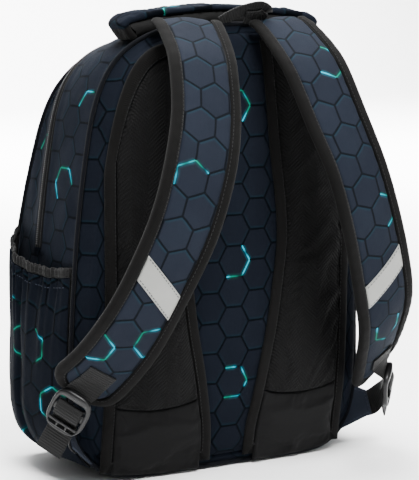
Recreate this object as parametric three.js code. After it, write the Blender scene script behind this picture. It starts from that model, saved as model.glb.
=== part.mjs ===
// A school backpack for ages 8 and up, standing on its base, as a scene graph in millimetres.
// +Z is up, the wearer's back is towards -Y, and the origin is the middle of the base.
import * as THREE from "three";

// Driving dimensions of the bag's body.
const bagHeight = 414; // base to the top seam
const bagWidth = 306; // across the side seams
const backReach = 102; // from the zip's plane back to the face of the back panel
const frontReach = 60; // from the zip's plane forward to the front seam
const zipLine = 14; // the main zip's plane, forward of the origin
const clothWall = 3;
const gussetSwell = 3;
const frontDome = 17;
const frontNarrowing = 3;
const frontDrop = 16; // how much lower the front seam's top is than the back seam's
const seamLift = 5; // how far the base's front and back seams lie above the floor
const seamGap = 0.4; // clearance between pieces that are sewn to each other

// Piping, padding and bindings of the back panel.
const pipingRadius = 2;
const pipingShift = 0.5; // how far a piping stands clear of its seam, away from the bag
const frontPipingRadius = 1.7;
const panelRound = 12;
const panelTaper = 7;
const panelPadding = 1.8;
const panelCrown = 8;
const padReach = 130; // from the middle to the pads' outer edges
const padTop = 401;
const padArch = 116; // how far the pads' tops fall towards the sides
const padFoot = 10; // height of the pads' lower ends above the floor
const padSeamHeight = 66; // where the mesh meets the smooth lower pad
const padSeamDip = 6;
const padLoft = 8;
const padRim = 2;
const padUnderside = 0.6;
const panelBindingWidth = 11;
const panelBindingThickness = 3;

// Main zip.
const zipWidth = 12;
const zipTape = 1.2;
const zipCoil = 5;
const coilRise = 1.4;
const zipFoot = 210; // height of the zip's two lower ends
const sliderLength = 11;
const sliderWidth = 8;
const sliderThickness = 4;
const sliderHeight = 262; // height of the slider on the bag's +X side
const pullLength = 24;
const pullWidth = 7;

// Side pockets.
const pocketWall = 2.4;
const pocketBulge = 16;
const pocketFoot = 16;
const pocketHeight = 200; // top of the elastic at the back seam
const pocketFrontRise = 25;
const pocketSag = 8;
const pocketCrease = 4;
const ruffleDepth = 1.3;
const ruffleCount = 5;
const elasticHeight = 9;
const elasticThickness = 2.6;

// Shoulder straps.
const strapWidth = 67;
const strapThickness = 8.5;
const strapRootThickness = 5;
const strapEdge = 5.5;
const strapCrown = 1.2;
const strapStandOff = 86; // widest gap between the back panel's face and the strap's outer face
const strapBindingWidth = 10.5;
const strapBindingProud = 0.6;
const strapEndRound = 22;
const strapLetOut = { left: 0, right: 13 }; // how much lower each strap hangs at its lower end
const reflectorWidth = 24;
const reflectorSlant = 24;
const reflectorThickness = 0.7;
const reflectorPlace = 0.66; // share of the strap's length from the root

// Webbing and ladder locks at the straps' lower ends.
const webbingWidth = 25;
const webbingThickness = 1.5;
const patchWidth = 27;
const patchLength = 16;
const lockLength = 40;
const lockWidth = 37;
const lockThickness = 3.6;
const lockCorner = 6;
const lockSlot = 6.5;
const lockBar = 7.5;
const lockEyeLength = 6;
const lockEyeWidth = 2.4;
const tailLength = 44; // from the lock's middle to the webbing's cut end
const tabRoot = 33;
const tabFoot = 15;
const tabReach = 20;
const tabThickness = 1.8;

// Handle and hang loop.
const handleSpan = 210;
const handleDepth = 30;
const handleRise = 20; // top of the handle above the top seam
const gripThickness = 7;
const handleLining = 4;
const handlePlace = 68; // how far behind the zip's plane the handle's middle line runs
const loopSpan = 44;
const loopRise = 19;
const loopWidth = 14;
const loopPlace = 92;
const loopThickness = 1.6;

const half = bagWidth / 2;

// The half outline seen from the front, as shares of the half width and of the height.
const outlineShape = [
  { kind: "line", steps: 3, across: [0, 0.556], up: [0, 0] },
  { kind: "curve", steps: 7, across: [0.556, 0.837, 1, 1], up: [0, 0, 0.053, 0.181] },
  { kind: "curve", steps: 7, across: [1, 1, 0.954, 0.876], up: [0.181, 0.411, 0.58, 0.761] },
  { kind: "curve", steps: 7, across: [0.876, 0.81, 0.654, 0.196], up: [0.761, 0.918, 0.998, 1] },
  { kind: "line", steps: 1, across: [0.196, 0], up: [1, 1] },
];

// Distances from the zip's plane, as shares of backReach (seam, face) and frontReach (front).
const profile = [
  { up: 0, seam: 0.815, face: 0.85, front: 0.8 },
  { up: 0.03, seam: 0.775, face: 0.862, front: 0.86 },
  { up: 0.09, seam: 0.742, face: 0.9, front: 0.93 },
  { up: 0.165, seam: 0.735, face: 0.95, front: 0.98 },
  { up: 0.25, seam: 0.735, face: 0.98, front: 1 },
  { up: 0.45, seam: 0.745, face: 1, front: 1 },
  { up: 0.6, seam: 0.745, face: 1, front: 0.85 },
  { up: 0.72, seam: 0.75, face: 1, front: 0.67 },
  { up: 0.83, seam: 0.765, face: 1, front: 0.46 },
  { up: 0.925, seam: 0.8, face: 1, front: 0.24 },
  { up: 1, seam: 0.9, face: 0.985, front: 0.18 },
];

// Half width of the panel's centre column between the pads, as a share of padReach.
const columnShape = [
  { up: 0, width: 0.138 },
  { up: 0.09, width: 0.146 },
  { up: 0.165, width: 0.185 },
  { up: 0.25, width: 0.235 },
  { up: 0.33, width: 0.285 },
  { up: 0.42, width: 0.325 },
  { up: 0.52, width: 0.36 },
  { up: 0.61, width: 0.346 },
  { up: 0.72, width: 0.3 },
  { up: 0.835, width: 0.262 },
  { up: 0.925, width: 0.23 },
  { up: 1, width: 0.19 },
];

// How far a pocket stands out along its height: behind its middle and in front of it.
const pocketShape = [
  { up: 0, rear: 0.03, fore: 0.03 },
  { up: 0.1, rear: 0.45, fore: 0.5 },
  { up: 0.25, rear: 0.85, fore: 0.95 },
  { up: 0.5, rear: 1, fore: 1 },
  { up: 0.8, rear: 0.8, fore: 0.95 },
  { up: 1, rear: 0.4, fore: 1.1 },
];

// A strap's middle line: shares of the half width, of strapStandOff behind the panel's face and of
// the bag's height, then how its outer edge lies above and ahead of the inner one per unit of width.
const strapRoute = [
  { across: 0.314, out: -0.02, up: 1.014, rise: 0, lead: 0 },
  { across: 0.324, out: 0.1, up: 1.004, rise: 0, lead: 0 },
  { across: 0.356, out: 0.42, up: 0.954, rise: 0, lead: -0.06 },
  { across: 0.38, out: 0.57, up: 0.918, rise: 0, lead: -0.04 },
  { across: 0.438, out: 0.808, up: 0.819, rise: 0.03, lead: 0.014 },
  { across: 0.53, out: 0.965, up: 0.713, rise: 0.145, lead: 0.11 },
  { across: 0.634, out: 0.983, up: 0.597, rise: 0.39, lead: 0.076 },
  { across: 0.748, out: 0.878, up: 0.488, rise: 0.54, lead: -0.03 },
  { across: 0.86, out: 0.703, up: 0.386, rise: 0.6, lead: -0.06 },
  { across: 0.957, out: 0.36, up: 0.29, rise: 0.62, lead: -0.02 },
  { across: 1.059, out: -0.035, up: 0.214, rise: 0.69, lead: -0.02 },
];

// Where a ladder lock hangs, and the way that it faces and points, on the bag's +X side.
const lockPlace = { across: 1.125, out: 0.065, up: 0.188 };
const lockDown = new THREE.Vector3(0.3, 0.39, -0.87).normalize();
const lockFacing = new THREE.Vector3(0.726, -0.682, -0.056);

// The webbing's way through a lock: shares of lockLength along it, of lockThickness out of it.
const threading = [
  { along: 0.3, out: -2.1 },
  { along: 0.08, out: -1.35 },
  { along: -0.11, out: -1.1 },
  { along: -0.175, out: -0.3 },
  { along: -0.155, out: 0.6 },
  { along: -0.08, out: 1.0 },
  { along: 0.08, out: 1.0 },
  { along: 0.155, out: 0.6 },
  { along: 0.175, out: -0.25 },
  { along: 0.22, out: -0.9 },
  { along: 0.36, out: -1.05 },
  { along: 0.6, out: -0.9 },
];

// The handle's outer line: shares of half the span and of handleRise above the top seam.
const handleShape = [
  { across: 0.985, up: -0.12 },
  { across: 0.98, up: 0.22 },
  { across: 0.88, up: 0.5 },
  { across: 0.6, up: 0.78 },
  { across: 0.3, up: 0.95 },
  { across: 0, up: 1 },
];

// The hang loop's middle line: shares of loopSpan, loopRise and loopWidth.
const loopShape = [
  { across: -0.24, up: 0.3, back: 0.15 },
  { across: -0.1, up: 0.5, back: 0.3 },
  { across: 0.28, up: 0.88, back: 0.7 },
  { across: 0.62, up: 0.98, back: 0.8 },
  { across: 0.76, up: 0.78, back: 0.75 },
  { across: 0.62, up: 0.56, back: 0.6 },
  { across: 0.3, up: 0.5, back: 0.5 },
];

// Colours and surfaces.
const finishes = {
  navy: { color: 0x2c3548, roughness: 0.85 },
  navyDark: { color: 0x222a3a, roughness: 0.88 },
  twill: { color: 0x15140f, roughness: 0.9 },
  mesh: { color: 0x121212, roughness: 0.95 },
  smooth: { color: 0x1b1b1c, roughness: 0.8 },
  webbing: { color: 0x1e1e1e, roughness: 0.85 },
  reflector: { color: 0xa8aaa6, roughness: 0.45 },
  plastic: { color: 0x3a3b3c, roughness: 0.4 },
  metal: { color: 0x2a2a2b, roughness: 0.35, metalness: 0.7 },
};

const bag = new THREE.Group();
bag.name = "school_backpack";

// Number helpers.
const mix = (a, b, t) => a + (b - a) * t;
const square = (v) => v * v;
const ease = (t) => {
  const c = Math.min(1, Math.max(0, t));
  return c * c * (3 - 2 * c);
};
const stops = (count) => Array.from({ length: count + 1 }, (_, i) => i / count);
const vec = (x, y, z) => new THREE.Vector3(x, y, z);

// Reads a column of a table at a place, as a smooth line through its rows.
function read(rows, column, at, key = "up") {
  const last = rows.length - 1;
  const place = Math.min(rows[last][key], Math.max(rows[0][key], at));
  let i = 0;
  while (i < last - 1 && rows[i + 1][key] < place) i += 1;
  const slope = (k) => {
    const a = rows[Math.max(0, k - 1)];
    const b = rows[Math.min(last, k + 1)];
    return (b[column] - a[column]) / (b[key] - a[key]);
  };
  const span = rows[i + 1][key] - rows[i][key];
  const t = (place - rows[i][key]) / span;
  const p = rows[i][column];
  const q = rows[i + 1][column];
  const rise = t * t * (3 - 2 * t);
  return mix(p, q, rise) + span * t * (1 - t) * ((1 - t) * slope(i) - t * slope(i + 1));
}

// Turns points and triangles into a mesh whose faces look outwards.
function addBody(name, points, faces, finish) {
  const { color, roughness, metalness = 0 } = finishes[finish];
  let volume = 0;
  for (const [a, b, c] of faces) {
    volume += points[a].dot(vec(0, 0, 0).crossVectors(points[b], points[c]));
  }
  const turned = volume < 0 ? faces.map(([a, b, c]) => [a, c, b]) : faces;
  const geometry = new THREE.BufferGeometry();
  const flat = points.flatMap((p) => [p.x, p.y, p.z]);
  geometry.setAttribute("position", new THREE.Float32BufferAttribute(flat, 3));
  geometry.setIndex(turned.flat());
  geometry.computeVertexNormals();
  const material = new THREE.MeshStandardMaterial({ color, roughness, metalness });
  const mesh = new THREE.Mesh(geometry, material);
  mesh.name = name;
  bag.add(mesh);
}

// Joins rings of points into a skin; each band runs from one ring to the next.
function bandFaces(a, b, count) {
  const faces = [];
  for (let i = 0; i < count; i += 1) {
    const j = (i + 1) % count;
    faces.push([a + i, a + j, b + j], [a + i, b + j, b + i]);
  }
  return faces;
}

// A body through a row of sections. A section lists its face points, then its back points reversed.
function loft(name, rings, finish, closed = false) {
  const count = rings[0].length;
  const points = rings.flat();
  const faces = [];
  const last = rings.length - 1;
  for (let r = 0; r < last; r += 1) faces.push(...bandFaces(r * count, (r + 1) * count, count));
  if (closed) {
    faces.push(...bandFaces(last * count, 0, count));
  } else {
    for (let i = 0; i < count / 2 - 1; i += 1) {
      const j = count - 1 - i;
      const end = last * count;
      faces.push([i, j, j - 1], [i, j - 1, i + 1]);
      faces.push([end + i, end + j - 1, end + j], [end + i, end + i + 1, end + j - 1]);
    }
  }
  addBody(name, points, faces, finish);
}

// A bowl: an outer and an inner skin of rings from the rim to a last middle point each.
function bowl(name, outer, outerPole, inner, innerPole, finish) {
  const count = outer[0].length;
  const order = [...inner].reverse();
  const rings = [...order, ...outer];
  const points = [innerPole, ...rings.flat(), outerPole];
  const faces = [];
  for (let i = 0; i < count; i += 1) faces.push([0, 1 + ((i + 1) % count), 1 + i]);
  for (let r = 0; r < rings.length - 1; r += 1) {
    faces.push(...bandFaces(1 + r * count, 1 + (r + 1) * count, count));
  }
  const end = 1 + (rings.length - 1) * count;
  for (let i = 0; i < count; i += 1) faces.push([end + i, end + ((i + 1) % count), points.length - 1]);
  addBody(name, points, faces, finish);
}

// The half outline's segments; a place w runs from 0 at the bottom to 5 at the top.
const segments = outlineShape.map(({ kind, across, up }) => {
  const at = (i) => new THREE.Vector2(across[i] * half, up[i] * bagHeight);
  if (kind === "line") return new THREE.LineCurve(at(0), at(1));
  return new THREE.CubicBezierCurve(at(0), at(1), at(2), at(3));
});

function outline(w, side) {
  const index = Math.min(segments.length - 1, Math.floor(w));
  const t = Math.min(1, w - index);
  const place = segments[index].getPointAt(t);
  const way = segments[index].getTangentAt(t);
  return { x: side * place.x, z: place.y, outX: side * way.y, outZ: -way.x };
}

// Finds the outline's place at a height on the side, and at a distance across the top.
function placeAtHeight(height) {
  let low = 1;
  let high = segments.length - 1;
  for (let i = 0; i < 30; i += 1) {
    const middle = (low + high) / 2;
    if (outline(middle, 1).z < height) low = middle;
    else high = middle;
  }
  return low;
}

function placeAcrossTop(across) {
  let low = 3;
  let high = segments.length;
  for (let i = 0; i < 30; i += 1) {
    const middle = (low + high) / 2;
    if (outline(middle, 1).x > across) low = middle;
    else high = middle;
  }
  return low;
}

// All the places round the outline, up the +X side and down the -X side.
const halfPlaces = outlineShape.flatMap(({ steps }, index) =>
  stops(steps).slice(0, -1).map((t) => index + t),
);
const around = [
  ...halfPlaces.map((w) => ({ w, side: 1 })),
  { w: segments.length, side: 1 },
  ...halfPlaces.slice(1).reverse().map((w) => ({ w, side: -1 })),
];
const ring = (point) => around.map(({ w, side }) => point(w, side));

const seamY = (z) => zipLine - backReach * read(profile, "seam", z / bagHeight);
const frontY = (z) => zipLine + frontReach * read(profile, "front", z / bagHeight);
const faceY = (x, z) =>
  zipLine - backReach * read(profile, "face", z / bagHeight) + panelCrown * square(x / half);

// A point of the gusset: round the outline, from the back seam (0) to the front seam (1).
function gusset(w, side, depth, off) {
  const edge = outline(w, side);
  const top = Math.max(0, edge.outZ);
  const base = Math.max(0, -edge.outZ);
  const y = mix(seamY(edge.z), frontY(edge.z), depth);
  const swell = (gussetSwell * Math.sin(Math.PI * depth) - frontNarrowing * square(depth)) * (1 - base);
  const rise = Math.max(0, 1 - depth / rearMargin, 1 - (1 - depth) / baseMargin);
  const lift = seamLift * base * rise;
  const push = off + swell;
  const drop = frontDrop * square(depth) * top;
  return vec(edge.x + edge.outX * push, y, edge.z + edge.outZ * push + lift - drop);
}
const baseMargin = 0.08;
const rearMargin = 0.04;
const depthAt = (w, y) => {
  const { z } = outline(w, 1);
  return (y - seamY(z)) / (frontY(z) - seamY(z));
};

const middleHeight = bagHeight / 2;

// A point of the domed front panel, from its seam (1) to its middle (0).
function frontPoint(w, side, share, inward) {
  const edge = outline(w, side);
  const rim = gusset(w, side, 1, -inward);
  const z = mix(middleHeight, rim.z, share);
  const y = frontY(mix(middleHeight, edge.z, share)) + frontDome * (1 - square(share)) - inward;
  return vec(rim.x * share, y, z);
}

// The bag's body: gusset, base and front in one cloth shell, open at the back.
function body() {
  const depths = [0, rearMargin, 0.36, 0.62, 1 - baseMargin, 1];
  const shares = [0.72, 0.36];
  const inside = (w, depth) => {
    const { z } = outline(w, 1);
    return depth * (1 - clothWall / (frontY(z) - seamY(z)));
  };
  const outer = depths.map((d) => ring((w, side) => gusset(w, side, d, 0)));
  const inner = depths.map((d) => ring((w, side) => gusset(w, side, inside(w, d), -clothWall)));
  for (const s of shares) {
    outer.push(ring((w, side) => frontPoint(w, side, s, 0)));
    inner.push(ring((w, side) => frontPoint(w, side, s, clothWall)));
  }
  const poleY = frontY(middleHeight) + frontDome;
  const pole = (y) => vec(0, y, middleHeight);
  bowl("bag_body", outer, pole(poleY), inner, pole(poleY - clothWall), "navy");
}

// A point of the back panel's face, pushed towards the wearer.
const onFace = (x, z, off) => vec(x, faceY(x, z) - off, z);

// The padded back panel: from its seam, round its edge, over its face.
function backPanel() {
  const rimPoint = (w, side, inset) => {
    const edge = outline(w, side);
    const rim = gusset(w, side, 0, -inset);
    return { edge, x: rim.x, z: rim.z, seam: seamY(edge.z) - seamGap };
  };
  const edgeRing = (inset, share, sink) =>
    ring((w, side) => {
      const { x, z, seam } = rimPoint(w, side, inset);
      return vec(x, mix(seam, faceY(x, z) + sink, share), z);
    });
  const faceRing = (inset, share, sink) =>
    ring((w, side) => {
      const rim = rimPoint(w, side, inset);
      const x = rim.x * share;
      const z = mix(middleHeight, rim.z, share);
      return vec(x, faceY(x, z) + sink, z);
    });
  const flat = panelTaper + panelRound;
  const outer = [
    edgeRing(0, 0, 0),
    edgeRing(panelTaper * 0.5, 0.6, panelRound * 0.5),
    edgeRing(panelTaper, 1, panelRound * 0.55),
    edgeRing(panelTaper + panelRound * 0.35, 1, panelRound * 0.18),
    faceRing(flat, 1, 0),
    faceRing(flat, 0.75, 0),
    faceRing(flat, 0.4, 0),
  ];
  const inner = [
    edgeRing(clothWall * 2, 0, 0),
    edgeRing(panelTaper + panelPadding, 0.5, panelPadding * 1.5),
    faceRing(flat + panelPadding, 0.95, panelPadding),
    faceRing(flat + panelPadding, 0.5, panelPadding),
  ];
  const pole = (sink) => vec(0, faceY(0, middleHeight) + sink, middleHeight);
  bowl("back_panel", outer, pole(0), inner, pole(panelPadding), "navy");
}

// A round cord that lies along a seam of the gusset.
function piping(name, depth, radius) {
  const corners = [0, 1, 2, 3, 4].map((i) => (i * Math.PI * 2) / 5);
  const rings = around.map(({ w, side }) => {
    const centre = gusset(w, side, depth, radius + seamGap);
    centre.y += pipingShift * (2 * depth - 1);
    const edge = outline(w, side);
    return corners.map((angle) => {
      const r = radius * Math.cos(angle);
      return vec(centre.x + edge.outX * r, centre.y + radius * Math.sin(angle), centre.z + edge.outZ * r);
    });
  });
  loft(name, rings, "twill", true);
}

// A point of a pad's area: across it, up it, and inset from its edge.
function padPoint(side, across, up, inset, off) {
  const share = inset / panelBindingWidth;
  const arch = padArch * (1 - 0.18 * share);
  const top = padTop - inset - arch * Math.pow(across, 5 - 1.5 * share);
  const z = mix(padFoot + inset, top, up);
  const column = padReach * read(columnShape, "width", z / bagHeight) + inset;
  const x = mix(column, padReach - inset, across);
  return onFace(side * x, z, off);
}

// The height share at which the mesh pad gives way to the smooth lower pad.
function padSeam(across) {
  const share = 1;
  const arch = padArch * (1 - 0.18 * share);
  const foot = padFoot + panelBindingWidth;
  const top = padTop - panelBindingWidth - arch * Math.pow(across, 5 - 1.5 * share);
  return (padSeamHeight + padSeamDip * square(2 * across - 1) - foot) / (top - foot);
}

function pad(name, side, finish, upper) {
  const columns = stops(6);
  const rows = stops(upper ? 11 : 3);
  const margin = seamGap / bagHeight;
  const rings = rows.map((row) => {
    const place = (a) => {
      const seam = padSeam(a);
      return upper ? mix(seam + margin, 1, row) : mix(0, seam - margin, row);
    };
    const swell = (a) => Math.pow(Math.sin(Math.PI * a) * Math.sin(Math.PI * row), 0.45);
    const inset = panelBindingWidth + seamGap;
    const face = columns.map((a) =>
      padPoint(side, a, place(a), inset, padRim + (padLoft - padRim) * swell(a)),
    );
    const back = columns.map((a) => padPoint(side, a, place(a), inset, padUnderside));
    return [...face, ...back.reverse()];
  });
  loft(name, rings, finish);
}

// The binding that runs round a pad's edge.
function padBinding(name, side) {
  const width = panelBindingWidth - seamGap;
  const rim = [
    ...stops(5).slice(0, -1).map((t) => [t, 0]),
    ...stops(11).slice(0, -1).map((t) => [1, t]),
    ...stops(9).slice(0, -1).map((t) => [1 - t, 1]),
    ...stops(12).slice(0, -1).map((t) => [0, 1 - t]),
  ];
  const rings = rim.map(([a, b]) => {
    const at = (share, off) => padPoint(side, a, b, width * share, off);
    return [
      at(0, padUnderside + 1),
      at(0.3, padUnderside + panelBindingThickness),
      at(1, padUnderside + panelBindingThickness * 0.8),
      at(1, padUnderside),
      at(0.3, padUnderside),
      at(0, padUnderside),
    ];
  });
  loft(name, rings, "twill", true);
}

// The outline's places from one height on the +X side over the top to the same height on the other.
function overTop(height) {
  const foot = placeAtHeight(height);
  const climb = [foot, ...halfPlaces.filter((w) => w > foot + 0.02)];
  return [
    ...climb.map((w) => ({ w, side: 1 })),
    { w: segments.length, side: 1 },
    ...climb.reverse().map((w) => ({ w, side: -1 })),
  ];
}

// The zip: tape with a raised coil, round the gusset's top from one pocket to the other.
function zip() {
  const rings = overTop(zipFoot).map(({ w, side }) => {
    const at = (y, off) => gusset(w, side, depthAt(w, zipLine + y), off);
    const tape = seamGap + zipTape;
    return [
      at(-zipWidth / 2, tape),
      at(-zipCoil / 2, tape + coilRise),
      at(zipCoil / 2, tape + coilRise),
      at(zipWidth / 2, tape),
      at(zipWidth / 2, seamGap),
      at(zipCoil / 2, seamGap),
      at(-zipCoil / 2, seamGap),
      at(-zipWidth / 2, seamGap),
    ];
  });
  loft("main_zip", rings, "twill");
}

// The slider with its pull hanging down, one plain piece on the +X side.
function slider() {
  const w = placeAtHeight(sliderHeight);
  const base = seamGap * 2 + zipTape + coilRise;
  const foot = placeAtHeight(sliderHeight - sliderLength - pullLength);
  const rows = [
    { t: 0, width: sliderWidth * 0.6, low: 0, high: sliderThickness * 0.6 },
    { t: 0.12, width: sliderWidth, low: 0, high: sliderThickness },
    { t: 0.3, width: sliderWidth, low: 0, high: sliderThickness },
    { t: 0.36, width: pullWidth * 0.6, low: 0.2, high: sliderThickness * 0.6 },
    { t: 0.7, width: pullWidth, low: 0.2, high: sliderThickness * 0.5 },
    { t: 1, width: pullWidth, low: 0.2, high: sliderThickness * 0.5 },
  ];
  const rings = rows.map(({ t, width, low, high }) => {
    const place = mix(w, foot, t);
    const at = (y, off) => gusset(place, 1, depthAt(place, zipLine + y), base + off);
    return [at(-width / 2, high), at(width / 2, high), at(width / 2, low), at(-width / 2, low)];
  });
  loft("zip_slider", rings, "metal");
}

// Height of the elastic's top edge along a pocket, from the back seam (0) to the front seam (1).
const mouthHeight = (s) => pocketHeight + pocketFrontRise * square(s) - pocketSag * Math.sin(Math.PI * s);

// A point of a pocket's inner surface, and outwards of it.
function pocketPoint(side, s, up, extra) {
  const margin = 0.035;
  const top = mouthHeight(s) - elasticHeight - seamGap;
  const w = mix(placeAtHeight(pocketFoot), placeAtHeight(top), up);
  const rear = read(pocketShape, "rear", up);
  const fore = read(pocketShape, "fore", up);
  const fullness = mix(rear, fore, ease((s - 0.3) / 0.4)) * Math.pow(Math.sin(Math.PI * s), 0.6);
  const ends = Math.min(1, Math.sin(Math.PI * s) * 3);
  const crease = pocketCrease * Math.exp(-square((s - 0.55) / 0.06)) * ease(up * 6) * ease((0.85 - up) * 4);
  const gather = ruffleDepth * Math.sin(2 * Math.PI * ruffleCount * s) * ease((up - 0.6) * 2.5) * ends;
  const off = seamGap * 2 + Math.max(0, pocketBulge * fullness - crease + gather);
  return gusset(w, side, mix(margin, 1 - margin, s), off + extra);
}

function pocket(name, side) {
  const columns = stops(18);
  const rings = [0, 0.05, 0.11, 0.18, 0.28, 0.45, 0.7, 1].map((up) => {
    const face = columns.map((s) => pocketPoint(side, s, up, pocketWall));
    const back = columns.map((s) => pocketPoint(side, s, up, 0));
    return [...face, ...back.reverse()];
  });
  loft(name, rings, "navy");
}

function pocketElastic(name, side) {
  const rings = stops(18).map((s) => {
    const low = pocketPoint(side, s, 1, 0);
    const out = pocketPoint(side, s, 1, elasticThickness).sub(low);
    const foot = low.z + seamGap;
    const at = (share, height) => vec(low.x + out.x * share, low.y, foot + elasticHeight * height);
    return [at(1, 0), at(1, 1), at(0, 1), at(0, 0)];
  });
  loft(name, rings, "twill");
}

// A strap's middle line as a smooth curve, with the way across it at each place.
function strapLine(letOut) {
  const last = strapRoute.length - 1;
  const root = strapRoute[0].up * bagHeight;
  const drop = (z) => letOut * Math.pow(Math.max(0, root - z) / (root - strapRoute[last].up * bagHeight), 0.75);
  const points = strapRoute.map(({ across, out, up }) => {
    const z = up * bagHeight;
    return vec(across * half, zipLine - backReach - out * strapStandOff, z - drop(z));
  });
  const curve = new THREE.CatmullRomCurve3(points, false, "centripetal");
  const length = curve.getLength();
  const lean = strapRoute.map((row, i) => ({ place: i / last, ...row }));
  return { curve, length, lean };
}

// A point of a strap: across it, along it, and out of its outer face.
function strapPoint(line, side, across, along, out) {
  const { middle, way, over, facing } = strapFrame(line, along);
  const p = middle.clone().addScaledVector(over, across).addScaledVector(facing, out);
  return vec(side * p.x, p.y, p.z);
}

function strapFrame({ curve, length, lean }, along) {
  const share = Math.min(1, along / length);
  const place = curve.getUtoTmapping(share);
  const middle = curve.getPoint(place);
  const way = curve.getTangent(place);
  middle.addScaledVector(way, Math.max(0, along - length));
  const rise = read(lean, "rise", place, "place");
  const lead = read(lean, "lead", place, "place");
  const over = vec(Math.sqrt(1 - rise * rise - lead * lead), lead, rise);
  over.addScaledVector(way, -over.dot(way)).normalize();
  const facing = vec(0, 0, 0).crossVectors(way, over);
  return { middle, way, over, facing };
}

const strapFullness = (along) => ease(along / (strapWidth * 1.2));
const strapDepth = (along, share) => {
  const thick = mix(strapRootThickness, strapThickness, strapFullness(along));
  const edge = mix(strapRootThickness * 0.8, strapEdge, strapFullness(along));
  return mix(thick, edge, square(share));
};

// The padded strap between its bindings, rounded at its lower end.
function strapPad(name, line, side) {
  const inner = strapEndRound - strapBindingWidth;
  const end = line.length - strapBindingWidth - seamGap;
  const start = line.length - strapEndRound;
  const alongs = [...stops(19).map((t) => t * start), ...[0.45, 0.75, 0.97].map((t) => mix(start, end, t))];
  const rings = alongs.map((along) => {
    const past = Math.max(0, along - start);
    const cut = inner - Math.sqrt(Math.max(0, inner * inner - past * past));
    const reach = strapWidth / 2 - strapBindingWidth - seamGap - cut;
    const places = [-1, -0.5, 0, 0.5, 1];
    const face = places.map((c) => strapPoint(line, side, c * reach, along, strapCrown * (1 - square(c))));
    const back = places.map((c) => strapPoint(line, side, c * reach, along, -strapDepth(along, c)));
    return [...face, ...back.reverse()];
  });
  loft(name, rings, "navy");
}

// The binding down the strap's outer edge, round its lower end and up its inner edge.
function strapBinding(name, line, side) {
  const edge = strapWidth / 2;
  const turn = line.length - strapEndRound;
  const rim = [
    ...stops(19).map((t) => ({ across: edge, along: t * turn, inX: -1, inY: 0 })),
    ...endCorner(edge, turn, 1),
    ...endCorner(edge, turn, -1).reverse(),
    ...stops(19).reverse().map((t) => ({ across: -edge, along: t * turn, inX: 1, inY: 0 })),
  ];
  const rings = rim.map(({ across, along, inX, inY }) => {
    const deep = strapDepth(along, 1) + strapBindingProud;
    const at = (inset, out) =>
      strapPoint(line, side, across + inX * inset, along + inY * inset, out);
    return [
      at(0, -deep * 0.3),
      at(strapBindingWidth * 0.25, strapBindingProud),
      at(strapBindingWidth, strapBindingProud),
      at(strapBindingWidth, -deep),
      at(strapBindingWidth * 0.25, -deep),
      at(0, -deep * 0.7),
    ];
  });
  loft(name, rings, "twill");
}

function endCorner(edge, turn, side) {
  return [0.25, 0.5, 0.75, 1].map((t) => {
    const angle = (t * Math.PI) / 2;
    const across = side * (edge - strapEndRound + strapEndRound * Math.cos(angle));
    const along = turn + strapEndRound * Math.sin(angle);
    return { across, along, inX: -side * Math.cos(angle), inY: -Math.sin(angle) };
  });
}

// The reflective stripe, slanted across the strap between its bindings.
function reflector(name, line, side) {
  const reach = strapWidth / 2 - strapBindingWidth - seamGap * 2;
  const middle = line.length * reflectorPlace;
  const rings = stops(6).map((t) => {
    const c = mix(-1, 1, t);
    const centre = middle - (reflectorSlant / 2) * c;
    const base = strapCrown * (1 - square(c)) + seamGap;
    const at = (share, out) => strapPoint(line, side, c * reach, centre + reflectorWidth * share, base + out);
    const face = [-0.5, 0, 0.5].map((share) => at(share, reflectorThickness));
    return [...face, ...[0.5, 0, -0.5].map((share) => at(share, 0))];
  });
  loft(name, rings, "reflector");
}

// A flat ribbon through stops with a middle, a way across and a way out.
function ribbon(name, places, finish) {
  const rings = places.map(({ middle, over, facing, width, thickness }) => {
    const at = (c, n) =>
      middle.clone().addScaledVector(over, c * width * 0.5).addScaledVector(facing, n * thickness * 0.5);
    return [at(-1, 1), at(1, 1), at(1, -1), at(-1, -1)];
  });
  loft(name, rings, finish);
}

// The ladder lock's frame: its middle, its way down, across and out.
function lockFrame(side, letOut) {
  const middle = vec(
    lockPlace.across * half,
    zipLine - backReach - lockPlace.out * strapStandOff,
    lockPlace.up * bagHeight - letOut,
  );
  const way = lockDown.clone();
  const facing = lockFacing.clone().addScaledVector(way, -lockFacing.dot(way)).normalize();
  const over = vec(0, 0, 0).crossVectors(facing, way);
  return { middle, way, over, facing, side };
}
const mirrored = (v, side) => vec(side * v.x, v.y, v.z);

function inLock({ middle, way, over, facing }, across, along, out) {
  return middle.clone().addScaledVector(over, across).addScaledVector(way, along).addScaledVector(facing, out);
}

// A rounded rectangle as a path round its middle.
function roundedPath(path, x, y, width, height, radius) {
  const left = x - width / 2;
  const low = y - height / 2;
  path.moveTo(left + radius, low);
  path.lineTo(left + width - radius, low);
  path.quadraticCurveTo(left + width, low, left + width, low + radius);
  path.lineTo(left + width, low + height - radius);
  path.quadraticCurveTo(left + width, low + height, left + width - radius, low + height);
  path.lineTo(left + radius, low + height);
  path.quadraticCurveTo(left, low + height, left, low + height - radius);
  path.lineTo(left, low + radius);
  path.quadraticCurveTo(left, low, left + radius, low);
  return path;
}

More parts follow.
